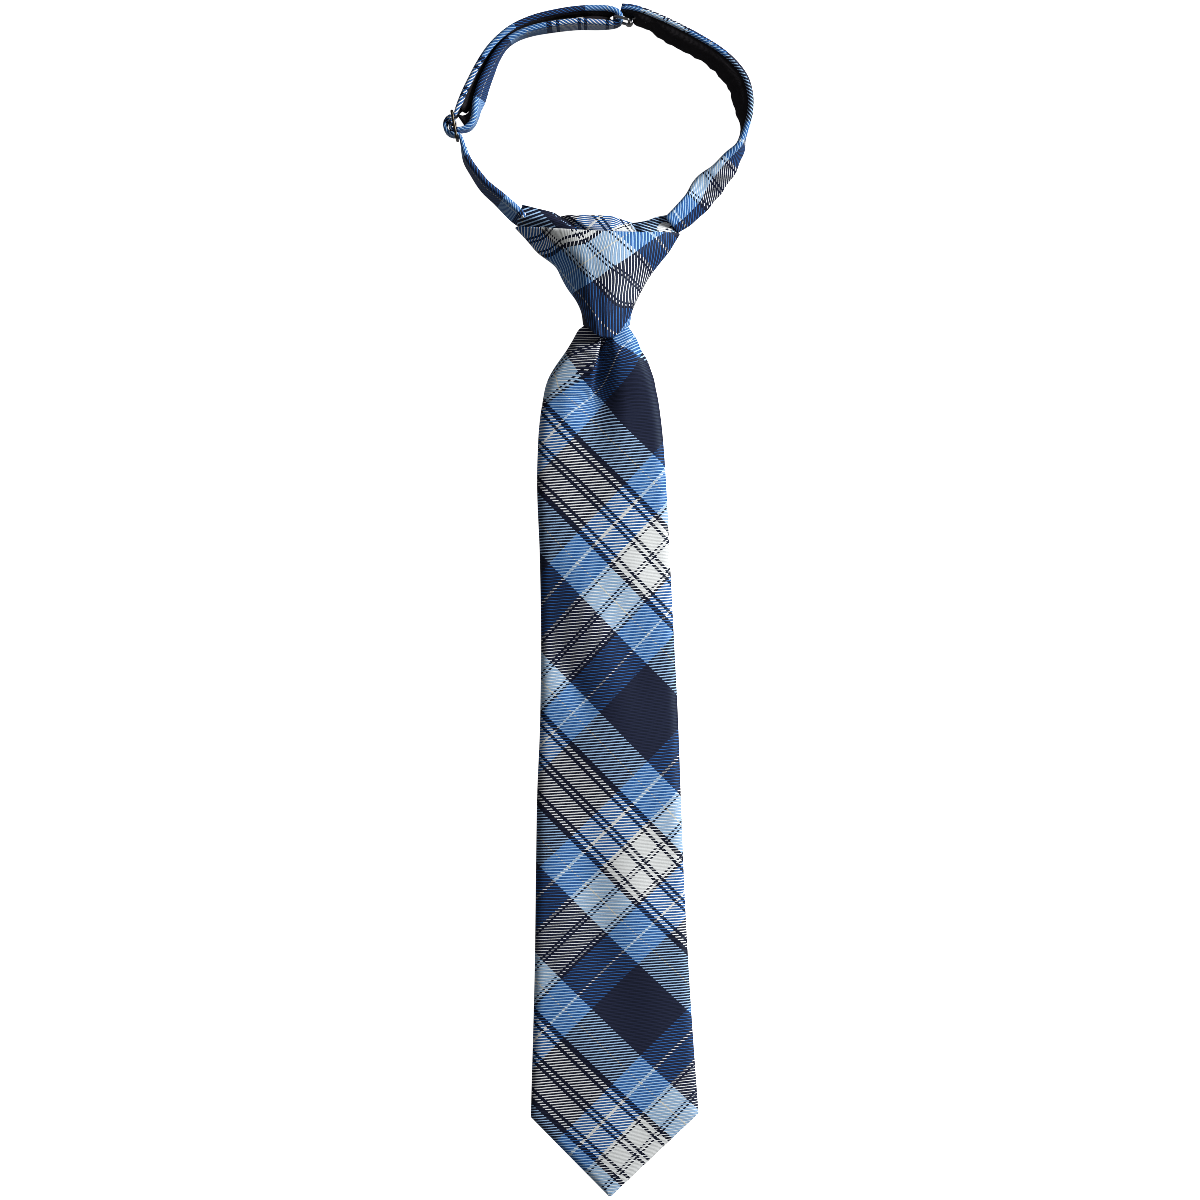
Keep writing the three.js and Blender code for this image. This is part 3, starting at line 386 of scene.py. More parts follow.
def grid_part(points, cloth=None, loop_rows=False, caps=None, layer=None):
    """Quads over a grid of points whose columns run round. cloth may have one more row or column, where the
    grid closes. With layer it holds several charts, and each face uses the one at its first corner."""
    rows, columns = points.shape[:2]
    i, j = np.meshgrid(np.arange(rows if loop_rows else rows - 1), np.arange(columns), indexing="ij")
    i, j = i.ravel(), j.ravel()
    corners = [(i, j), (i, j + 1), (i + 1, j + 1), (i + 1, j)]
    faces = np.stack([(r % rows) * columns + c % columns for r, c in corners], 1)
    cloth = np.zeros((rows, columns, 2)) if cloth is None else cloth
    if layer is None:
        cloth, layer = cloth[None], np.zeros(cloth.shape[:2], int)
    used = layer[i % cloth.shape[1], j % cloth.shape[2]]
    places = np.stack([cloth[used, r % cloth.shape[1], c % cloth.shape[2]] for r, c in corners], 1)
    flat = points.reshape(-1, 3)
    turned = signed_volume(flat, faces) < 0
    if turned:
        faces, places = faces[:, ::-1], places[:, ::-1]
    polygons = faces.tolist()
    uv = places.reshape(-1, 2).tolist()
    vertex_cloth = cloth[0, :rows, :columns].reshape(-1, 2)
    for ring, forward in ((0, turned), (rows - 1, not turned)):
        for cap in cap_faces(columns, caps):
            face = [ring * columns + c for c in cap]
            face = face if forward else face[::-1]
            polygons.append(face)
            uv.extend(vertex_cloth[face].tolist())
    return flat, polygons, uv


def cap_faces(columns, kind):
    """The faces that close a ring: none, its whole outline, or strips between its first and second half."""
    if kind is None:
        return []
    if kind == "whole":
        return [list(range(columns))]
    last = columns - 1
    return [[k, k + 1, last - k - 1, last - k] for k in range(columns // 2 - 1)]


def placed(name, data, place=(0, 0, 0)):
    """A new object in the scene."""
    made = bpy.data.objects.new(name, data)
    made.location = place
    bpy.context.scene.collection.objects.link(made)
    return made


def mesh_object(name, parts, look, node):
    """One object of all the parts, riding on the tie in place of the node named."""
    vertices, polygons, uv = [], [], []
    for points, faces, places in parts:
        first = len(vertices)
        vertices.extend((points / 1000).tolist())
        polygons.extend([[first + k for k in face] for face in faces])
        uv.extend(places)
    mesh = bpy.data.meshes.new(name)
    mesh.from_pydata(vertices, [], polygons)
    mesh.uv_layers.new(name="cloth").data.foreach_set("uv", np.array(uv).ravel())
    mesh.polygons.foreach_set("use_smooth", [True] * len(mesh.polygons))
    mesh.update()
    mesh.materials.append(look)
    piece = placed(name, mesh)
    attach(piece, "root")
    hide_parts(node)
    return piece


def cloth_piece(name, part, look, node):
    """A folded piece of cloth."""
    piece = mesh_object(name, [part], look, node)


# The tartan's place on a surface

def photo_plane(points):
    """Where the camera sees the points, as pixels of the photograph."""
    scale = CAMERA_HEIGHT / (CAMERA_HEIGHT - points[..., 2])
    x = CAMERA_OFF[0] + (points[..., 0] - CAMERA_OFF[0]) * scale
    y = CAMERA_OFF[1] + (points[..., 1] - CAMERA_OFF[1]) * scale
    return np.stack([ORIGIN_PIXEL[0] + x / PIXEL, ORIGIN_PIXEL[1] - y / PIXEL], -1)


def charted(pixels, chart, lines=(), seen=None, drift=None):
    """The place in the cloth at each pixel, from a chart and its drift, drawn over to the lines that the
    photograph shows. seen is where the camera sees each point of folded cloth."""
    def at(places, family):
        value, x, y, turn, growth = chart[family]
        angle = math.radians(turn)
        right = (places[..., 0] - x) * PIXEL
        up = (y - places[..., 1]) * PIXEL
        straight = value + growth * (right * math.cos(angle) + up * math.sin(angle))
        return straight + drift(places, family) if drift else straight

    out = []
    for family in ("falling", "rising"):
        base = at(pixels, family)
        wanted = [(x, y, value) for kind, value, places in lines if kind == family for x, y in places]
        if wanted:
            wanted = np.array(wanted, float)
            far = np.linalg.norm(seen.reshape(-1, 1, 2) - wanted[None, :, :2], axis=-1)
            knots = pixels.reshape(-1, 2)[far.argmin(axis=0)]
            base = base + spread(knots, wanted[:, 2] - at(knots, family), pixels)
        out.append(base)
    return np.stack(out, -1)


def spread(knots, values, pixels):
    """A smooth surface through the values at the knots, which dies away from them."""
    def nearness(a, b):
        return bell(np.linalg.norm(a[:, None, :] - b[None, :, :], axis=-1), 0, SPREAD)

    weights = np.linalg.solve(nearness(knots, knots) + SPREAD_EASE * np.eye(len(knots)), values)
    flat = pixels.reshape(-1, 2)
    return (nearness(flat, knots) @ weights).reshape(pixels.shape[:-1])


def front_only(grid, columns):
    """Where the camera sees the grid's front, and nowhere near the picture for the rest of it."""
    seen = np.full(grid.shape[:2] + (2,), OUT_OF_SIGHT)
    seen[:, columns] = photo_plane(grid[:, columns])
    return seen


def unrolled(grid, middle, tucked=0.0):
    """Pixels for a grid whose columns run round the piece: at the middle column as the camera sees it, and
    from there as far to both sides as the cloth is long. tucked is cloth hidden left of each column."""
    run = arc_length(grid) + tucked
    seen = photo_plane(grid[:, middle])
    across = (run - run[:, middle:middle + 1]) / PIXEL
    return paired(seen[:, None, 0] + across, seen[:, 1:])


# Blade

def blade_sections():
    """The blade's table along a smooth curve, then straight in to the tip's point."""
    given = filled(BLADE_ROW, BLADE)
    corner = {**given[-1], **TIP_CORNERS, "y": (TIP_CORNERS["left_y"] + TIP_CORNERS["right_y"]) / 2}
    point = {**corner, "left": TIP_POINT[0], "right": TIP_POINT[0], "left_y": TIP_POINT[1],
             "right_y": TIP_POINT[1], "thick": TIP_END_THICK, "crown": 0}
    table = np.array([[row[k] for k in BLADE_ROW] for row in given + [corner]])
    top, low = table[0, 0], corner["y"]
    y = np.linspace(top, low, int((top - low) / ROW_STEP), endpoint=False)
    slant = (corner["right_y"] - corner["left_y"]) * ease(-y, -SLANT_FROM, -low)
    rows = [dict(zip(BLADE_ROW, row), left_y=row[0] - s / 2, right_y=row[0] + s / 2)
            for row, s in zip(curve_through(-table[:, 0], table, -y), slant)]
    wide = corner["right"] - corner["left"]
    for s in np.linspace(0, 1 - TIP_END_WIDTH / wide, int(wide / 2 / ROW_STEP)):
        rows.append({k: corner[k] + s * (point[k] - corner[k]) for k in corner})
    for row in rows:
        above = max(0, (row["left_y"] + row["right_y"]) / 2 - low)
        row["flap"] = min((row["right"] - row["left"] - SLIT) / 2, HEM + above)
    return rows


def pleat_shape(x, edge, y):
    """0 on the flat cloth and -1 in the pleat, with a steep side and one that is longer lower down."""
    steep = -ease(x, edge - PLEAT_STEEP, edge + PLEAT_STEEP)
    longer = 1 - ease(y, PLEAT_RUN["to_y"], PLEAT_RUN["from_y"])
    run = PLEAT_RUN["high"] + longer * (PLEAT_RUN["low"] - PLEAT_RUN["high"])
    return steep * (1 - ease(x - edge - PLEAT_STEEP, 0, run)) ** PLEAT_ROUND


def blade_relief(x, y):
    """The trough that runs on below the pleat, and soft swells, dents and waves over the front."""
    x_at, y_at = TROUGH["x"], TROUGH["y"]
    across = plateau(x, 1, x_at - TROUGH["left"], x_at, x_at, x_at + TROUGH["right"])
    along = plateau(y, 1, y_at - TROUGH["down"], y_at, y_at, y_at + TROUGH["up"])
    relief = -TROUGH["deep"] * across * along
    for row in SWELLS:
        swell = dict(zip(SWELL_COLUMNS, row))
        down = y - swell["y"]
        aside = x - swell["x"] + swell["slant"] * down
        relief = relief + swell["high"] * bell(aside, 0, swell["wide"]) * bell(down, 0, swell["long"])
    for high, length, turn, start in WAVES:
        way = x * math.cos(math.radians(turn)) + y * math.sin(math.radians(turn))
        wave = np.sin(2 * math.pi * way / length + start)
        relief = relief + high * ease(-y, -WAVES_START, -WAVES_FULL) * wave
    return relief


def blade_skin(row, inset):
    """x and z along one skin of the blade, from the slit round the left edge, over the front and back."""
    left, right, base, thick = (row[k] for k in ("left", "right", "base", "thick"))
    wide = right - left
    round_in = min(SHOULDER, wide * EDGE_SHARE)
    under_in = min(thick / 2, wide * EDGE_SHARE)
    middle = base + thick / 2

    def front_height(x):
        u = (2 * x - left - right) / wide
        crown = row["crown"] * np.clip(1 - u * u, 0, 1)
        share = min(1, row["crown"] / BLADE_ROW["crown"])
        relief = share * blade_relief(x, row["y"]) * np.clip(1 - u ** 4, 0, 1)
        pleat = row["deep"] * pleat_shape(x, row["pleat"], row["y"])
        return thick / 2 + crown + relief + pleat - inset

    def edge(side, inward):
        place = side + inset * inward
        turn = np.linspace(math.pi / 2, 0, UNDER_POINTS + 1)[:-1]
        x = place + inward * (under_in - inset / 2) * (1 - np.cos(turn))
        lower = np.stack([x, middle - (thick / 2 - inset) * np.sin(turn)], 1)
        turn = np.linspace(0, math.pi / 2, SHOULDER_POINTS, endpoint=False)
        x = place + inward * (round_in - inset) * (1 - np.cos(turn))
        upper = np.stack([x, middle + front_height(x) * np.sin(turn)], 1)
        return np.vstack([lower, upper])

    front_x = np.linspace(left + round_in, right - round_in, FRONT_POINTS)
    front = np.stack([front_x, middle + front_height(front_x)], 1)
    under = np.linspace(row["flap"], under_in, BACK_POINTS, endpoint=False)
    flat = np.full(BACK_POINTS, base + inset)
    return np.vstack([
        np.stack([left + under, flat], 1), edge(left, 1), front, edge(right, -1)[::-1],
        np.stack([right - under, flat], 1)[::-1],
    ])


def blade(look):
    rows = blade_sections()

    def skin(row, share):
        x, z = blade_skin(row, share * min(CLOTH, row["thick"] * CLOTH_SHARE)).T
        aside = (x - row["left"]) / (row["right"] - row["left"])
        return np.stack([x, row["left_y"] + aside * (row["right_y"] - row["left_y"]), z], 1)

    outer, inner = (np.array([skin(row, share) for row in rows]) for share in (0, 1))
    first = BACK_POINTS + UNDER_POINTS + SHOULDER_POINTS
    middle = first + FRONT_POINTS // 2
    seen = front_only(outer, slice(first - SHOULDER_POINTS, first + FRONT_POINTS + SHOULDER_POINTS))
    into_pleat = [row["deep"] * ease(points[:, 0], row["pleat"] - PLEAT_STEEP, row["pleat"] + PLEAT_STEEP)
                  for row, points in zip(rows, outer)]
    tucked = PLEAT_TUCK * np.array(into_pleat)
    tucked -= tucked[:, middle:middle + 1]
    cloth = charted(unrolled(outer, middle, tucked), BLADE_CHART, BLADE_LINES, seen, blade_drift)
    part = grid_part(np.hstack([outer, inner[:, ::-1]]), np.hstack([cloth, cloth[:, ::-1]]), caps="strips")
    cloth_piece("blade_cloth", part, look, "blade")


def blade_drift(places, family):
    """How far a family's threads stray at each pixel of the photograph."""
    table = np.array(BLADE_DRIFT, float)
    height = np.clip(places[..., 1].ravel(), table[0, 0], table[-1, 0])
    first = 1 if family == "falling" else 3
    left, right = curve_through(table[:, 0], table[:, first:first + 2], height).T
    start, end = BLADE_DRIFT_AT
    share = np.clip((places[..., 0].ravel() - start) / (end - start), *BLADE_DRIFT_SHARES)
    return (left + share * (right - left)).reshape(places.shape[:-1])


# Knot

def knot_ring(row, inset, y_at):
    """One section of the knot, moved in from its outer form by inset."""
    angle = math.pi * (1.5 - 2 * (np.arange(KNOT_RING) + 0.5) / KNOT_RING)
    middle, half = (row["left"] + row["right"]) / 2, (row["right"] - row["left"]) / 2

    def power(value):
        return np.sign(value) * np.abs(value) ** (2 / row["full"])

    x = middle + (half - inset) * power(np.cos(angle))
    y = y_at(x, np.maximum(0, np.sin(angle)))
    top_fall, edge_fall = knot_fall((x - middle) / half, y)
    edge = (row["front"] + row["back"]) / 2 - edge_fall
    outer = np.where(np.sin(angle) > 0, row["front"] - top_fall - inset, row["back"] + inset)
    return np.stack([x, y, edge + (outer - edge) * np.abs(power(np.sin(angle)))], 1)


def knot_fall(u, y):
    """How far the knot's front and its side edges are lowered, at a share u of a section's half width."""
    on_crest = 1 - (1 - FALL_ALONG["share"]) * ease(y, FALL_ALONG["edge"], FALL_ALONG["crest"])
    amount = ease(y, FALL_ALONG["start"], FALL_ALONG["full"]) * on_crest

    def fall(what, begins):
        left, right = (side[what] * ease(np.abs(u), side[begins], 1) for side in FALL.values())
        return amount * np.where(u < 0, left, right)

    return fall("top", "ridge"), fall("edge", "edge_from")


def wrap_y(row):
    """Where a wrap section lies: a straight line between its ends, which dips at the front by its sag."""
    def y_at(x, front):
        share = np.clip((x - row["left"]) / (row["right"] - row["left"]), 0, 1)
        line = row["left_y"] + share * (row["right_y"] - row["left_y"])
        return line - row["sag"] * front * 4 * share * (1 - share)
    return y_at


def knot_rows(places):
    """The wrap's table along a smooth curve. places run from 0 at its lower edge to 1 at its top edge."""
    table = np.array(KNOT, float)
    values = curve_through(np.linspace(0, 1, len(table)), table, places, hug=False)
    return [dict(zip(KNOT_COLUMNS, row)) for row in values]


def knot_wrap(look):
    rows = knot_rows(np.linspace(0, 1, WRAP_ROWS))
    turns = np.linspace(0, math.pi, EDGE_ROWS + 2)[1:-1]

    def ring(row, turn, out=0):
        made = knot_ring(row, WRAP * (1 - math.cos(turn)) / 2, wrap_y(row))
        made[:, 1] += out * WRAP / 2 * math.sin(turn)
        return made

    grid = [ring(row, 0) for row in rows] + [ring(rows[-1], turn, 1) for turn in turns]
    grid += [ring(row, math.pi) for row in rows[::-1]] + [ring(rows[0], turn, -1) for turn in turns[::-1]]
    grid = wrap_folds(np.array(grid))
    closed = np.hstack([grid, grid[:, :1]])
    seen = front_only(closed, slice(KNOT_RING // 4, 3 * KNOT_RING // 4))
    seen[WRAP_ROWS:] = OUT_OF_SIGHT
    cloth = charted(unrolled(closed, KNOT_RING // 2), WRAP_CHART, WRAP_LINES, seen)
    part = grid_part(grid, cloth, loop_rows=True)
    cloth_piece("knot_wrap_cloth", part, look, "knot_wrap")


def wrap_folds(grid):
    """The dent in the wrap's left outline, and the pulls that run down to the swell at its lower edge."""
    x, y, z = (grid[..., k].copy() for k in range(3))
    left_side = ease(-x, WRAP_DENT["start"], WRAP_DENT["full"])
    grid[..., 0] = x + left_side * WRAP_DENT["deep"] * bell(y, WRAP_DENT["y"], WRAP_DENT["long"])
    fan = (x - PULL_FAN["x"]) / (PULL_FAN["wide"] + PULL_FAN["opening"] * (y - PULL_FAN["y"]))
    pulls = sum(high * np.sin(close * fan + start) for high, close, start in PULLS)
    pulls = pulls * ease(-y, -PULL_FAN["end"], -PULL_FAN["full"])
    swell = MOUTH_SWELL["high"] * bell(x, MOUTH_SWELL["x"], MOUTH_SWELL["wide"])
    swell = swell * (1 - ease(y, MOUTH_SWELL["start"], MOUTH_SWELL["end"]))
    grid[..., 2] = z + ease(z, *WRAP_FRONT) * (pulls + swell)
    return grid


def fold_section(rise):
    """The fold's ring at a share of the way from the wrap's top edge up to the crest."""
    table = np.array(FOLD_SHAPE)
    row = dict(zip(FOLD_COLUMNS, curve_through(table[:, 0], table, [rise])[0]), full=FOLD_FULL)
    crest = np.array(CREST)
    start = wrap_y(knot_rows([1.0])[0])

    def y_at(x, front):
        edge = curve_through(crest[:, 0], crest[:, 1:], np.clip(x, crest[0, 0], crest[-1, 0]))[:, 0]
        low = start(x, FOLD_SAG_SHARE)
        return low + rise * (edge - low)

    return knot_ring(row, 0, y_at)


def fold_rings():
    """The folded cloth's rings, from inside the wrap up to its rounded crest."""
    inside = knot_rows(np.linspace(FOLD_INSIDE["start"], 1, FOLD_INSIDE["rows"]))
    rings = [knot_ring(row, WRAP + GAP, wrap_y(row)) for row in inside]
    rings += [fold_section(rise) for rise in np.linspace(FOLD_FIRST_RISE, 1, FOLD_ROWS)]
    last = rings[-1]
    centre = (last[:, 2].max() + last[:, 2].min()) / 2
    for turn in np.linspace(0, math.pi / 2, FOLD_TOP_ROWS + 1)[1:]:
        ring = last.copy()
        ring[:, 2] = centre + (last[:, 2] - centre) * max(FOLD_TOP_THIN, math.cos(turn))
        ring[:, 1] += FOLD_TOP_ROUND * math.sin(turn)
        rings.append(ring)
    grid = np.array(rings)
    for row in CREASES:
        crease = dict(zip(CREASE_COLUMNS, row))
        off = grid[..., 0] - crease["x"] + crease["drift"] * (grid[..., 1] - crease["y"])
        front = ease(grid[..., 2], *CREASE_FRONT) * ease(grid[..., 1], *CREASE_ALONG)
        grid[..., 2] -= crease["deep"] * bell(off, 0, crease["wide"]) * front
    return np.roll(grid, -FOLD_FRONT, axis=1)


def right_of(pixels, edge):
    """Which pixels lie right of a line drawn downwards."""
    (x, y), (end_x, end_y) = edge
    return (pixels[..., 0] - x) * (end_y - y) > (pixels[..., 1] - y) * (end_x - x)


def fold_chart(pixels, seen):
    """The fold's tartan in four layers: in arcs over the knot's middle, on the lobes left and right of them,
    and on the patch of another layer that shows there. Also each point's layer."""
    bend_x, bend_y = FOLD_BEND
    radius = bend_y - FOLD_CHART["falling"][2]
    right, up = pixels[..., 0] - bend_x, bend_y - pixels[..., 1]
    arcs = np.stack([bend_x + radius * np.arctan2(right, up), bend_y - np.hypot(right, up)], -1)
    layers = [charted(arcs, FOLD_CHART)]
    layers += [charted(seen, chart) for chart in (LEFT_LOBE_CHART, RIGHT_LOBE_CHART, WHITE_PATCH_CHART)]
    x, y, wide, high = WHITE_PATCH
    layer = np.where(right_of(seen, LEFT_LOBE_EDGE), 0, 1)
    layer[right_of(seen, RIGHT_LOBE_EDGE)] = 2
    layer[np.hypot((seen[..., 0] - x) / wide, (seen[..., 1] - y) / high) < 1] = 3
    return np.array(layers), layer


def knot_fold(look):
    grid = fold_rings()
    closed = np.hstack([grid, grid[:, :1]])
    cloth, layer = fold_chart(unrolled(closed, FOLD_FRONT), photo_plane(closed))
    part = grid_part(grid, cloth, caps="strips", layer=layer)
    cloth_piece("knot_fold_cloth", part, look, "knot_fold")


# Neck band

def arc_stations(centre, radius, start, end, steps):
    """Threaded stations on part of a circle seen from above."""
    turns = np.radians(np.linspace(start, end, steps + 1))
    x, y = centre
    return [(x + radius * math.cos(t), y + radius * math.sin(t), 0, THREADED_WIDTH, None, 1) for t in turns]


def direction(a, b):
    return math.degrees(math.atan2(b[1] - a[1], b[0] - a[0]))


def through_slider():
    """Right of the lower bar, left of the band's own end on the middle bar, right of the top bar."""
    low, mid, top = SLIDER_BARS
    over = math.dist(low, mid) - NEAR_BAR
    up, up_again = direction(low, mid), direction(mid, top)
    return (arc_stations(low, NEAR_BAR, 0, up, steps=4)
            + arc_stations(mid, over, up + 180, up_again, steps=8)[1:]
            + arc_stations(top, NEAR_BAR, up_again - 180, 0, steps=4)[1:])


def end_on_slider():
    return arc_stations(SLIDER_BARS[1], NEAR_BAR, *END_TURN, steps=7)


def stations(rows):
    """The stations' columns in small steps along a smooth run, and the length run so far."""
    table = filled(STATION, rows)
    for row in table:
        if row["lift"] is None:
            row["lift"] = (BAND_WIDTH - row["wide"]) / (BAND_WIDTH - THREADED_WIDTH) * THREADED_LIFT
    table = np.array([list(row.values()) for row in table], float)
    run = arc_length(table[:, :2])
    places = np.linspace(0, run[-1], int(run[-1] / BAND_STEP))
    made = curve_through(run, table, places, hug=False)
    made[:, LIFT] = np.maximum(0, made[:, LIFT])
    made[:, THREADED] = np.clip(made[:, THREADED], 0, 1)
    return np.column_stack([made, arc_length(made[:, :2])])


def frames(path):
    """For each station its centre, the way up the band and the way its face looks."""
    ahead = np.gradient(path[:, :2], axis=0)
    ahead /= np.linalg.norm(ahead, axis=1)[:, None]
    side = np.stack([-ahead[:, 1], ahead[:, 0], np.zeros(len(path))], 1)
    lean = np.radians(path[:, LEAN])[:, None]
    rise = np.array([[0, 0, 1.0]])
    up = rise * np.cos(lean) + side * np.sin(lean)
    face = side * np.cos(lean) - rise * np.sin(lean)
    tall = path[:, WIDE] * np.cos(lean[:, 0]) + thickness(path[:, THREADED]) * np.abs(np.sin(lean[:, 0]))
    return np.column_stack([path[:, :2], path[:, LIFT] + tall / 2]), up, face


def thickness(threaded):
    return BAND_THICKNESS + (THREADED_THICKNESS - BAND_THICKNESS) * threaded


def swept(path, section):
    """A grid of points from each station's section, which gives u (up), v (to the face) and the place across
    the cloth. Also that place for each point."""
    centre, up, face = frames(path)
    rows = np.array([section(*row) for row in path[:, [WIDE, THREADED, RUN]]])
    u, v = rows[..., :1], rows[..., 1:2]
    return centre[:, None] + up[:, None] * u + face[:, None] * v, rows[..., -1]


def band_section(wide, threaded, run):
    """A channel of cloth with rolled edges: u, v and the place across the cloth."""
    edge = wide / 2
    radius = thickness(threaded) / 2
    floor = (radius - BAND_WALL) * (1 - threaded) + (THREADED_WALL - radius) * threaded
    turn = np.linspace(0, math.pi, EDGE_POINTS)
    face_u = np.linspace(radius - edge, edge - radius, FACE_POINTS + 2)[1:-1]
    points = [(BAND_LIP - edge, -radius)]
    points += [(radius - edge - radius * math.sin(t), -radius * math.cos(t)) for t in turn]
    points += [(u, radius) for u in face_u]
    points += [(edge - radius + radius * math.sin(t), radius * math.cos(t)) for t in turn]
    points += [(edge - BAND_LIP, -radius)]
    outer = np.array(points)
    across = arc_length(outer)
    across -= across[-1] / 2
    outer = np.column_stack([outer, across])
    inner = [(edge - BAND_LIP, floor, across[-1]), (0, floor, 0), (BAND_LIP - edge, floor, across[0])]
    return np.vstack([outer, inner])


def ruffled(grid, path, deep):
    """The grid with its lower edge waving in and out along the band."""
    face = frames(path)[2]
    low = np.clip(1 - grid[..., 2] / (RUFFLED_SHARE * BAND_WIDTH), 0, 1) ** 2
    wave = deep * np.sin(2 * math.pi * path[:, RUN] / RUFFLE)
    return grid + face[:, None] * (wave[:, None] * low)[..., None]


def lining_section(bulge):
    """A soft strip set into the channel. bulge gives how far it swells out of it at each length run."""
    def section(wide, threaded, run):
        half = wide / 2 - LINING_IN["side"]
        back = LINING_IN["back"] - BAND_THICKNESS / 2
        front = back + LINING_IN["thick"]
        u = np.linspace(-half, half, LINING_POINTS)
        swell = bulge(run, u / half) * (1 - (u / half) ** 4)
        under = np.stack([u, back - swell, u], 1)
        return np.vstack([under, [(half, front, half), (-half, front, -half)]])
    return section


def phase_at(path, place, value):
    """What to add to the length run so that it is value at the station nearest the place."""
    nearest = np.argmin(np.linalg.norm(path[:, :2] - np.array(place), axis=1))
    return value - path[nearest, RUN]


def fading(run, shift):
    """A shift of the cloth that is full at first and fades out between two lengths run."""
    amount, start, end = shift
    return amount * (1 - ease(run, start, end))


def left_path():
    loop = LEFT_OUTER + ROUND_RING + LEFT_INNER
    return stations(LEFT_FROM_KNOT + through_slider() + loop + end_on_slider())


def left_band(look, path):
    grid, across = swept(path, band_section)
    run = path[:, RUN]
    along = run + phase_at(path[len(path) // 2:], *LEFT_PAIR)
    along = along + fading(run, LEFT_SLACK) - fading(run, LEFT_GATHER)
    part = grid_part(grid, paired(along[:, None], LEFT_ACROSS + across), caps="whole")
    cloth_piece("left_band_cloth", part, look, "left_strap")


def right_band(look, path):
    grid, across = swept(path, band_section)
    run = path[:, RUN]
    along = run + phase_at(path, *RIGHT_PAIR)
    turn_in, start, full = RIGHT_TURN_IN
    middle = RIGHT_ACROSS + fading(run, RIGHT_SLANT) - turn_in * ease(run, run[-1] - start, run[-1] - full)
    cloth = paired(middle[:, None] - across, along[:, None])
    part = grid_part(ruffled(grid, path, RIGHT_WAVE), cloth, caps="whole")
    cloth_piece("right_band_cloth", part, look, "right_strap")


def lining(name, node, path, look, bulge, wave=0.0):
    grid, across = swept(path, lining_section(bulge))
    part = grid_part(ruffled(grid, path, wave), paired(path[:, [RUN]], across), caps="whole")
    cloth_piece(name, part, look, node)


def strap_swell(run, u):
    """The lining lies flat between the knot and the slider."""
    return STRAP_SWELL


def loop_swell(path):
    """The lining's swell out of the left loop: fuller where both of its layers come to the slider and beside
    the ring, and flat round the ring."""
    start, end = path[0, RUN], path[-1, RUN]
    ring = path[path[:, 0].argmax(), RUN]

    def swell(run, u):
        from_ring = abs(run - ring)
        bumps = ((start, LOOP_FIRST_BUMP), (end, LOOP_LAST_BUMP))
        at_slider = sum(high * bell(run, origin + middle, wide) for origin, (high, middle, wide) in bumps)
        beside_ring = LOOP_AT_RING["high"] * (1 - ease(from_ring, *LOOP_AT_RING["fade"]))
        wave = LOOP_SWELL["wave"] * math.sin(run / LOOP_SWELL["wave_long"])
        high = LOOP_SWELL["high"] + wave + at_slider + beside_ring
        return LOOP_SWELL["least"] + high * ease(from_ring, *LOOP_SWELL["from_ring"])
    return swell


def right_swell(run, u):
    """The right lining's swell: it is folded over the hook's shank, and hangs out of the band after that."""
    waves = sum(high * math.sin(run / length + start) for high, length, start in RIGHT_WAVES)
    hanging = plateau(run, *RIGHT_HANGING) * (1 + waves) * (1 - RIGHT_LOWER_SHARE * u)
    return RIGHT_SWELL + plateau(run, *RIGHT_OVER_HOOK) + hanging


def lined_runs(path):
    """The stretches of the left piece that are not threaded through metal."""
    lined = path[:, THREADED] < MAX_LINED_THREADING
    edges = np.flatnonzero(np.diff(np.concatenate([[0], lined.astype(int), [0]])))
    return [path[a:b] for a, b in zip(edges[::2], edges[1::2]) if b - a > MIN_LINED_STEPS]


# Metal

def tube(points, radius, closed=False):
    """A round wire along points, as a grid."""
    points = np.asarray(points, float)
    ahead = np.gradient(points, axis=0)
    if closed:
        ahead = np.roll(points, -1, 0) - np.roll(points, 1, 0)
    ahead /= np.linalg.norm(ahead, axis=1)[:, None]
    normal = np.cross(ahead[:2].sum(0), (ahead[1] - ahead[0]) + ANY_WAY)
    rings = []
    for place, way in zip(points, ahead):
        normal = normal - way * normal.dot(way)
        normal /= np.linalg.norm(normal)
        other = np.cross(way, normal)
        turn = np.linspace(0, 2 * math.pi, WIRE_SIDES, endpoint=False)[:, None]
        rings.append(place + radius * (normal * np.cos(turn) + other * np.sin(turn)))
    return np.array(rings)


def rounded_loop(first, last, low, high):
    """A loop standing upright over the line from first to last, with rounded corners."""
    first, last = np.array(first), np.array(last)
    length = np.linalg.norm(last - first)
    way = (last - first) / length
    near, far, bottom, top = CORNER, length - CORNER, low + CORNER, high - CORNER
    points = []
    for along, height, start in ((near, bottom, 180), (far, bottom, 270), (far, top, 0), (near, top, 90)):
        for turn in np.radians(np.linspace(start, start + 90, CORNER_POINTS)):
            s = along + CORNER * math.cos(turn)
            points.append((*(first + way * s), height + CORNER * math.sin(turn)))
    return np.array(points)


def wire_frame(name, node, bars, look):
    """A frame of wire standing upright, with an upright at each bar."""
    wire = WIRE / 2
    loop = rounded_loop(bars[0], bars[-1], wire, HARDWARE_HEIGHT - wire)
    parts = [grid_part(tube(loop, wire, closed=True), loop_rows=True)]
    for bar in bars[1:-1]:
        upright = [(*bar, z) for z in np.linspace(wire, HARDWARE_HEIGHT - wire, UPRIGHT["points"])]
        parts.append(grid_part(tube(upright, wire * UPRIGHT["share"]), caps="whole"))
    mesh_object(name, parts, look, node)


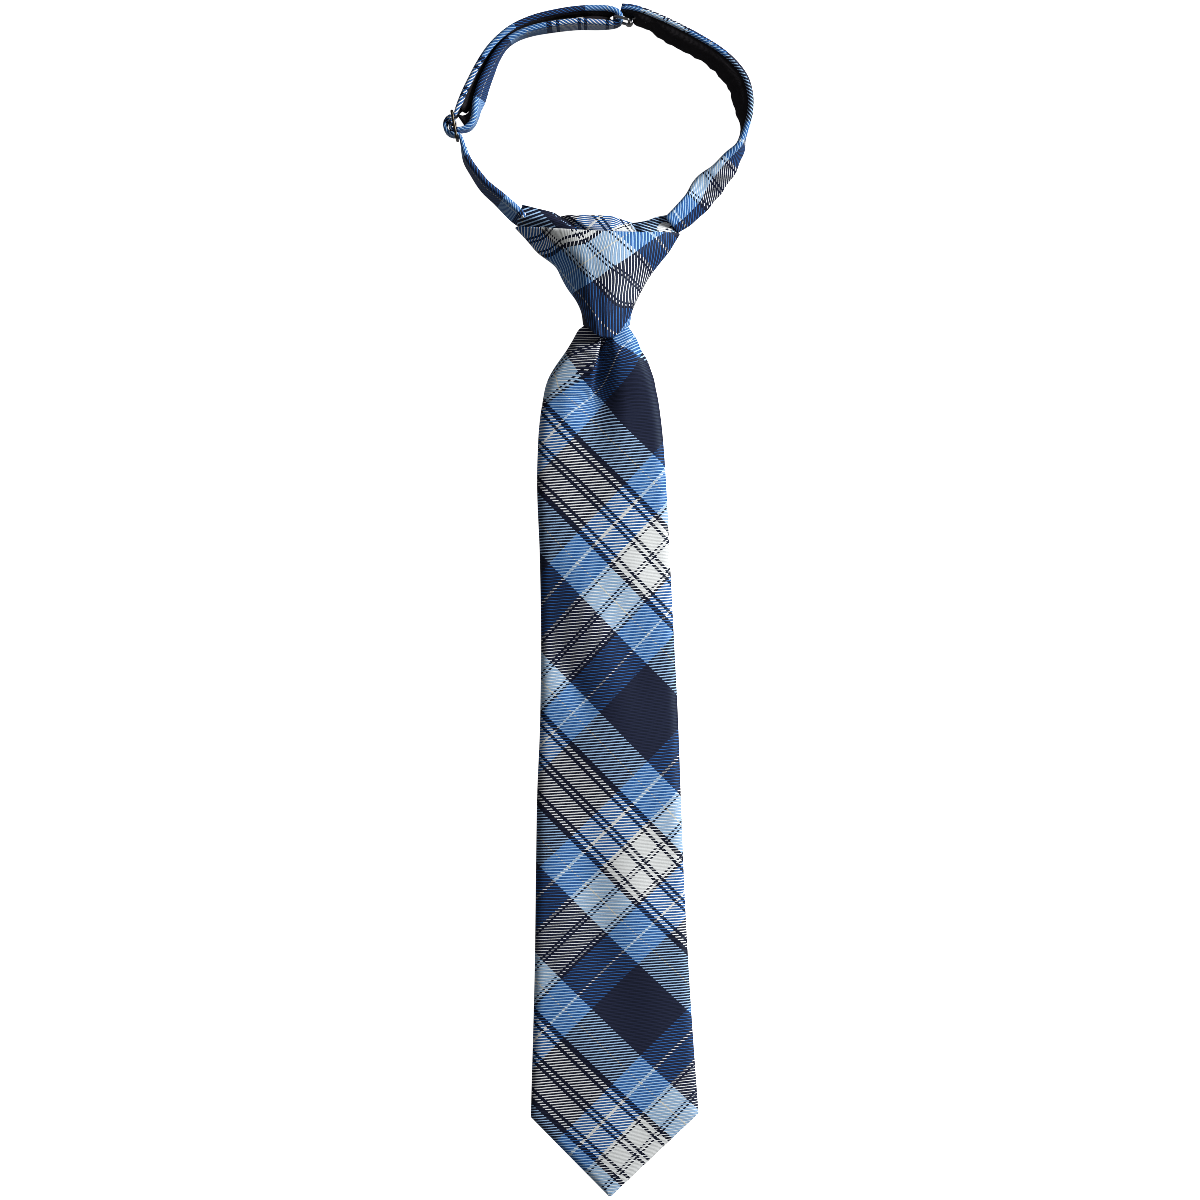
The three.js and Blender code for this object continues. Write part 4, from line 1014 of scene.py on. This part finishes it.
def hook(look):
    """A flat strip along the band's lined side, which turns in and curls round the ring's free upright."""
    radius = WIRE / 2 + GAP + HOOK_THICKNESS / 2
    x, y = RING_BARS[1]
    turns = np.radians(np.linspace(*HOOK_CURL))
    curl = [(x + radius * math.cos(t), y + radius * math.sin(t), 0) for t in turns]
    path = np.array([(*place, HOOK_HEIGHT, HOOK_LOW, 0, 0) for place in HOOK_SHANK + curl], float)

    def section(wide, threaded, run):
        u, v = wide / 2, HOOK_THICKNESS / 2
        turn = np.linspace(0, math.pi, HOOK_EDGE_POINTS)
        top = [(u - v + v * math.sin(t), v * math.cos(t)) for t in turn]
        return np.array(top + [(-a, -b) for a, b in top])

    grid, _ = swept(path, section)
    mesh_object("hook_strip", [grid_part(grid, caps="whole")], look, "hook")


# Materials

class Nodes:
    """Short calls for a material's nodes."""

    def __init__(self, name):
        self.material = bpy.data.materials.new(name)
        self.material.use_nodes = True
        self.tree = self.material.node_tree
        self.tree.nodes.clear()

    def add(self, kind, inputs=(), **settings):
        node = self.tree.nodes.new(kind)
        for key, value in settings.items():
            setattr(node, key, value)
        for key, value in dict(inputs).items():
            socket = node.inputs[key]
            if isinstance(value, bpy.types.NodeSocket):
                self.tree.links.new(value, socket)
            else:
                socket.default_value = value
        return node

    def math(self, operation, *values):
        return self.add("ShaderNodeMath", enumerate(values), operation=operation).outputs[0]

    def mix(self, share, first, second, blend="MIX"):
        """A blend of two colours. The mix node's colour sockets are 6 and 7, and 2 gives the colour out."""
        inputs = {0: share, 6: first, 7: second}
        return self.add("ShaderNodeMix", inputs, data_type="RGBA", blend_type=blend).outputs[2]

    def scaled(self, colour, factor):
        """A colour times a number."""
        grey = self.add("ShaderNodeCombineXYZ", {0: factor, 1: factor, 2: factor}).outputs[0]
        return self.mix(1.0, colour, grey, "MULTIPLY")

    def surface(self, inputs):
        shader = self.add("ShaderNodeBsdfPrincipled", inputs)
        self.add("ShaderNodeOutputMaterial", {"Surface": shader.outputs[0]})
        return self.material


def sett_ramp(nodes, sett, first, last, place):
    """A ramp for the threads from first to last of a sett. place runs from 0 to 1 over them."""
    ramp = nodes.add("ShaderNodeValToRGB", {"Fac": place})
    ramp.color_ramp.interpolation = "CONSTANT"
    stops, start = [], 0
    for colour, threads in sett:
        if start + threads > first and start < last:
            stops.append(((max(start, first) - first) / (last - first), colour))
        start += threads
    assert len(stops) <= RAMP_STOPS
    elements = ramp.color_ramp.elements
    elements.remove(elements[1])
    for k, (position, colour) in enumerate(stops):
        element = elements[0] if k == 0 else elements.new(position)
        element.position = position
        element.color = (*YARN[colour], 1)
    return ramp.outputs["Color"]


def sett_colour(nodes, sett, thread, start, place):
    """The colour of the thread at a place in the cloth, and that thread's number."""
    total = sum(threads for _, threads in sett)
    number = nodes.math("FLOOR", nodes.math("DIVIDE", nodes.math("SUBTRACT", place, start), thread))
    centre = nodes.math("ADD", nodes.math("FLOORED_MODULO", number, float(total)), 0.5)
    half = total // 2
    low = sett_ramp(nodes, sett, 0, half, nodes.math("DIVIDE", centre, float(half)))
    high = sett_ramp(nodes, sett, half, total,
                     nodes.math("DIVIDE", nodes.math("SUBTRACT", centre, float(half)), float(total - half)))
    upper = nodes.math("GREATER_THAN", centre, float(half))
    return nodes.mix(upper, low, high), number


def on_top(nodes, top, under):
    """The colour of a thread that lies over another one, with a painted highlight that makes it lighter over
    a dark one.
    """
    grey = nodes.add("ShaderNodeRGBToBW", {0: under}).outputs[0]
    return nodes.scaled(top, nodes.math("MULTIPLY_ADD", grey, -PAINTED_HIGHLIGHT_OVER_DARK, 1 + PAINTED_HIGHLIGHT_OVER_DARK))


def cloth_place(nodes):
    """The place in the cloth, and its parts along and across."""
    place = nodes.add("ShaderNodeUVMap", uv_map="cloth").outputs[0]
    parts = nodes.add("ShaderNodeSeparateXYZ", {0: place}).outputs
    return place, parts[0], parts[1]


def tartan_twill():
    """A two by two twill: diagonal ribs in which the falling or the rising thread lies on top, with painted
    shade in the furrows and a painted highlight on the ridges.
    """
    nodes = Nodes("tartan_twill")
    _, along, across = cloth_place(nodes)
    falling, column = sett_colour(nodes, FALLING_SETT, FALLING_THREAD, FALLING_START, along)
    rising, line = sett_colour(nodes, RISING_SETT, RISING_THREAD, RISING_START, across)
    rib = nodes.math("SUBTRACT", nodes.math("DIVIDE", along, FALLING_THREAD),
                     nodes.math("DIVIDE", across, RISING_THREAD))
    turn = nodes.math("FLOORED_MODULO", nodes.math("DIVIDE", rib, float(RIB_THREADS)), 1.0)
    # Between the ribs the darker of the two threads shows, as painted shade where the yarns dive down
    colour = nodes.mix(1.0, falling, rising, "DARKEN")
    rows = ((falling, rising, 0.25, FALLING_SHARE), (rising, falling, 0.75, RISING_SHARE))
    for top, under, middle, share in rows:
        away = nodes.math("ABSOLUTE", nodes.math("SUBTRACT", turn, middle))
        colour = nodes.mix(nodes.math("LESS_THAN", away, share / 2), colour, on_top(nodes, top, under))
    wave = nodes.math("SINE", nodes.math("MULTIPLY", rib, 2 * math.pi / RIB_THREADS))
    ridge = nodes.math("ABSOLUTE", wave)
    crossing = nodes.add("ShaderNodeCombineXYZ", {0: column, 1: line}).outputs[0]
    yarn = nodes.add("ShaderNodeTexWhiteNoise", {"Vector": crossing}, noise_dimensions="2D").outputs["Value"]
    # Painted shade in the furrows between the ribs and a painted highlight on their ridges, with a random
    # tone for each yarn
    painted_shade_and_tone = nodes.math("ADD", nodes.math("MULTIPLY", ridge, PAINTED_RIDGE_HIGHLIGHT),
                       nodes.math("MULTIPLY_ADD", yarn, YARN_TONE, PAINTED_FURROW_SHADE))
    relief = nodes.add("ShaderNodeBump", {"Strength": 0.35, "Distance": 0.00012, "Height": ridge})
    return nodes.surface({"Base Color": nodes.scaled(colour, painted_shade_and_tone), "Roughness": 0.5,
                          "Specular IOR Level": 0.14, "Specular Tint": (0.55, 0.78, 1.0, 1),
                          "Sheen Weight": 0.01, "Sheen Roughness": 0.4, "Normal": relief.outputs[0]})


def black_lining():
    """A matt black lining in a fine plain weave."""
    nodes = Nodes("black_lining")
    place, *sides = cloth_place(nodes)
    waves = [nodes.math("SINE", nodes.math("MULTIPLY", side, 2 * math.pi / LINING_WEAVE)) for side in sides]
    weave = nodes.math("MULTIPLY", *waves)
    cloud = nodes.add("ShaderNodeTexNoise", {"Vector": place, "Scale": 0.35, "Detail": 2.0}).outputs["Fac"]
    relief = nodes.add("ShaderNodeBump", {"Strength": 0.5, "Distance": 0.0001, "Height": weave})
    return nodes.surface({"Base Color": nodes.mix(cloud, *LINING_COLOURS), "Roughness": 0.85,
                          "Specular IOR Level": 0.1, "Normal": relief.outputs[0]})


def metal(name, dark, light, roughness):
    """Metal with faint wear, from the darker to the lighter colour."""
    nodes = Nodes(name)
    place = nodes.add("ShaderNodeTexCoord").outputs["Object"]
    wear = nodes.add("ShaderNodeTexNoise", {"Vector": place, "Scale": 900.0, "Detail": 3.0}).outputs["Fac"]
    relief = nodes.add("ShaderNodeBump", {"Strength": 0.15, "Distance": 0.00005, "Height": wear})
    return nodes.surface({"Base Color": nodes.mix(wear, dark, light), "Metallic": 1.0,
                          "Roughness": roughness, "Normal": relief.outputs[0]})


def floor_look():
    """Pale acrylic lit a little from below, as a table for cut-out pictures is."""
    nodes = Nodes("pale_floor")
    return nodes.surface({"Base Color": (0.9, 0.9, 0.9, 1), "Roughness": 0.9, "Specular IOR Level": 0.1,
                          "Emission Color": (1, 1, 1, 1), "Emission Strength": 0.95})


# Scene

def camera():
    data = bpy.data.cameras.new("camera")
    data.sensor_width = SENSOR
    data.lens = LENS
    data.clip_end = 100
    bpy.context.scene.camera = placed("camera", data, Vector((*CAMERA_OFF, CAMERA_HEIGHT)) / 1000)


def film():
    """A sharp picture, so that the twill's ribs stay crisp."""
    bpy.context.scene.view_settings.view_transform = "Standard"
    bpy.context.scene.cycles.filter_width = 0.8


def key_light():
    data = bpy.data.lights.new("key", "AREA")
    data.shape = "DISK"
    data.size = KEY_SIZE
    data.energy = KEY_POWER
    lamp = placed("key", data, KEY_PLACE)
    lamp.rotation_euler = (-Vector(KEY_PLACE)).to_track_quat("-Z", "Y").to_euler()


def surroundings():
    """An even white light from all sides."""
    world = bpy.data.worlds.new("world")
    world.use_nodes = True
    background = world.node_tree.nodes["Background"]
    background.inputs["Color"].default_value = (1, 1, 1, 1)
    background.inputs["Strength"].default_value = WORLD_LIGHT
    bpy.context.scene.world = world


def pale_floor():
    side = FLOOR_SIDE
    mesh = bpy.data.meshes.new("floor")
    corners = [(-side, -side, 0), (side, -side, 0), (side, side, 0), (-side, side, 0)]
    mesh.from_pydata(corners, [], [range(4)])
    mesh.materials.append(floor_look())
    floor = placed("floor", mesh)
    floor.visible_diffuse = False
    floor.visible_glossy = False


def necktie():
    twill = tartan_twill()
    black = black_lining()
    steel = metal("bright_metal", *BRIGHT_METAL)
    bronze = metal("dark_metal", *DARK_METAL)
    wire_frame("slider_frame", "slider", SLIDER_BARS, bronze)
    wire_frame("ring_frame", "ring", RING_BARS, steel)
    hook(steel)
    path = left_path()
    left_band(twill, path)
    right = stations(RIGHT)
    right_band(twill, right)
    strap, loop = lined_runs(path)
    lining("left_lining_cloth_1", "left_lining_1", strap, black, strap_swell)
    lining("left_lining_cloth_2", "left_lining_2", loop, black, loop_swell(loop))
    lining("right_lining_cloth", "right_lining", right, black, right_swell, RIGHT_WAVE)
    knot_fold(twill)
    knot_wrap(twill)
    blade(twill)


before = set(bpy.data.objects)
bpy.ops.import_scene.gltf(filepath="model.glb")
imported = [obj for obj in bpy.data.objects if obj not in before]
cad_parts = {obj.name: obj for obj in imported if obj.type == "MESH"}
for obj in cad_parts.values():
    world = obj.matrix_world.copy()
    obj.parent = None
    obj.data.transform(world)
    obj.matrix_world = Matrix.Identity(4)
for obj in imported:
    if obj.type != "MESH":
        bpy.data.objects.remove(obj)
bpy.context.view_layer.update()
camera()
film()
key_light()
surroundings()
pale_floor()
necktie()
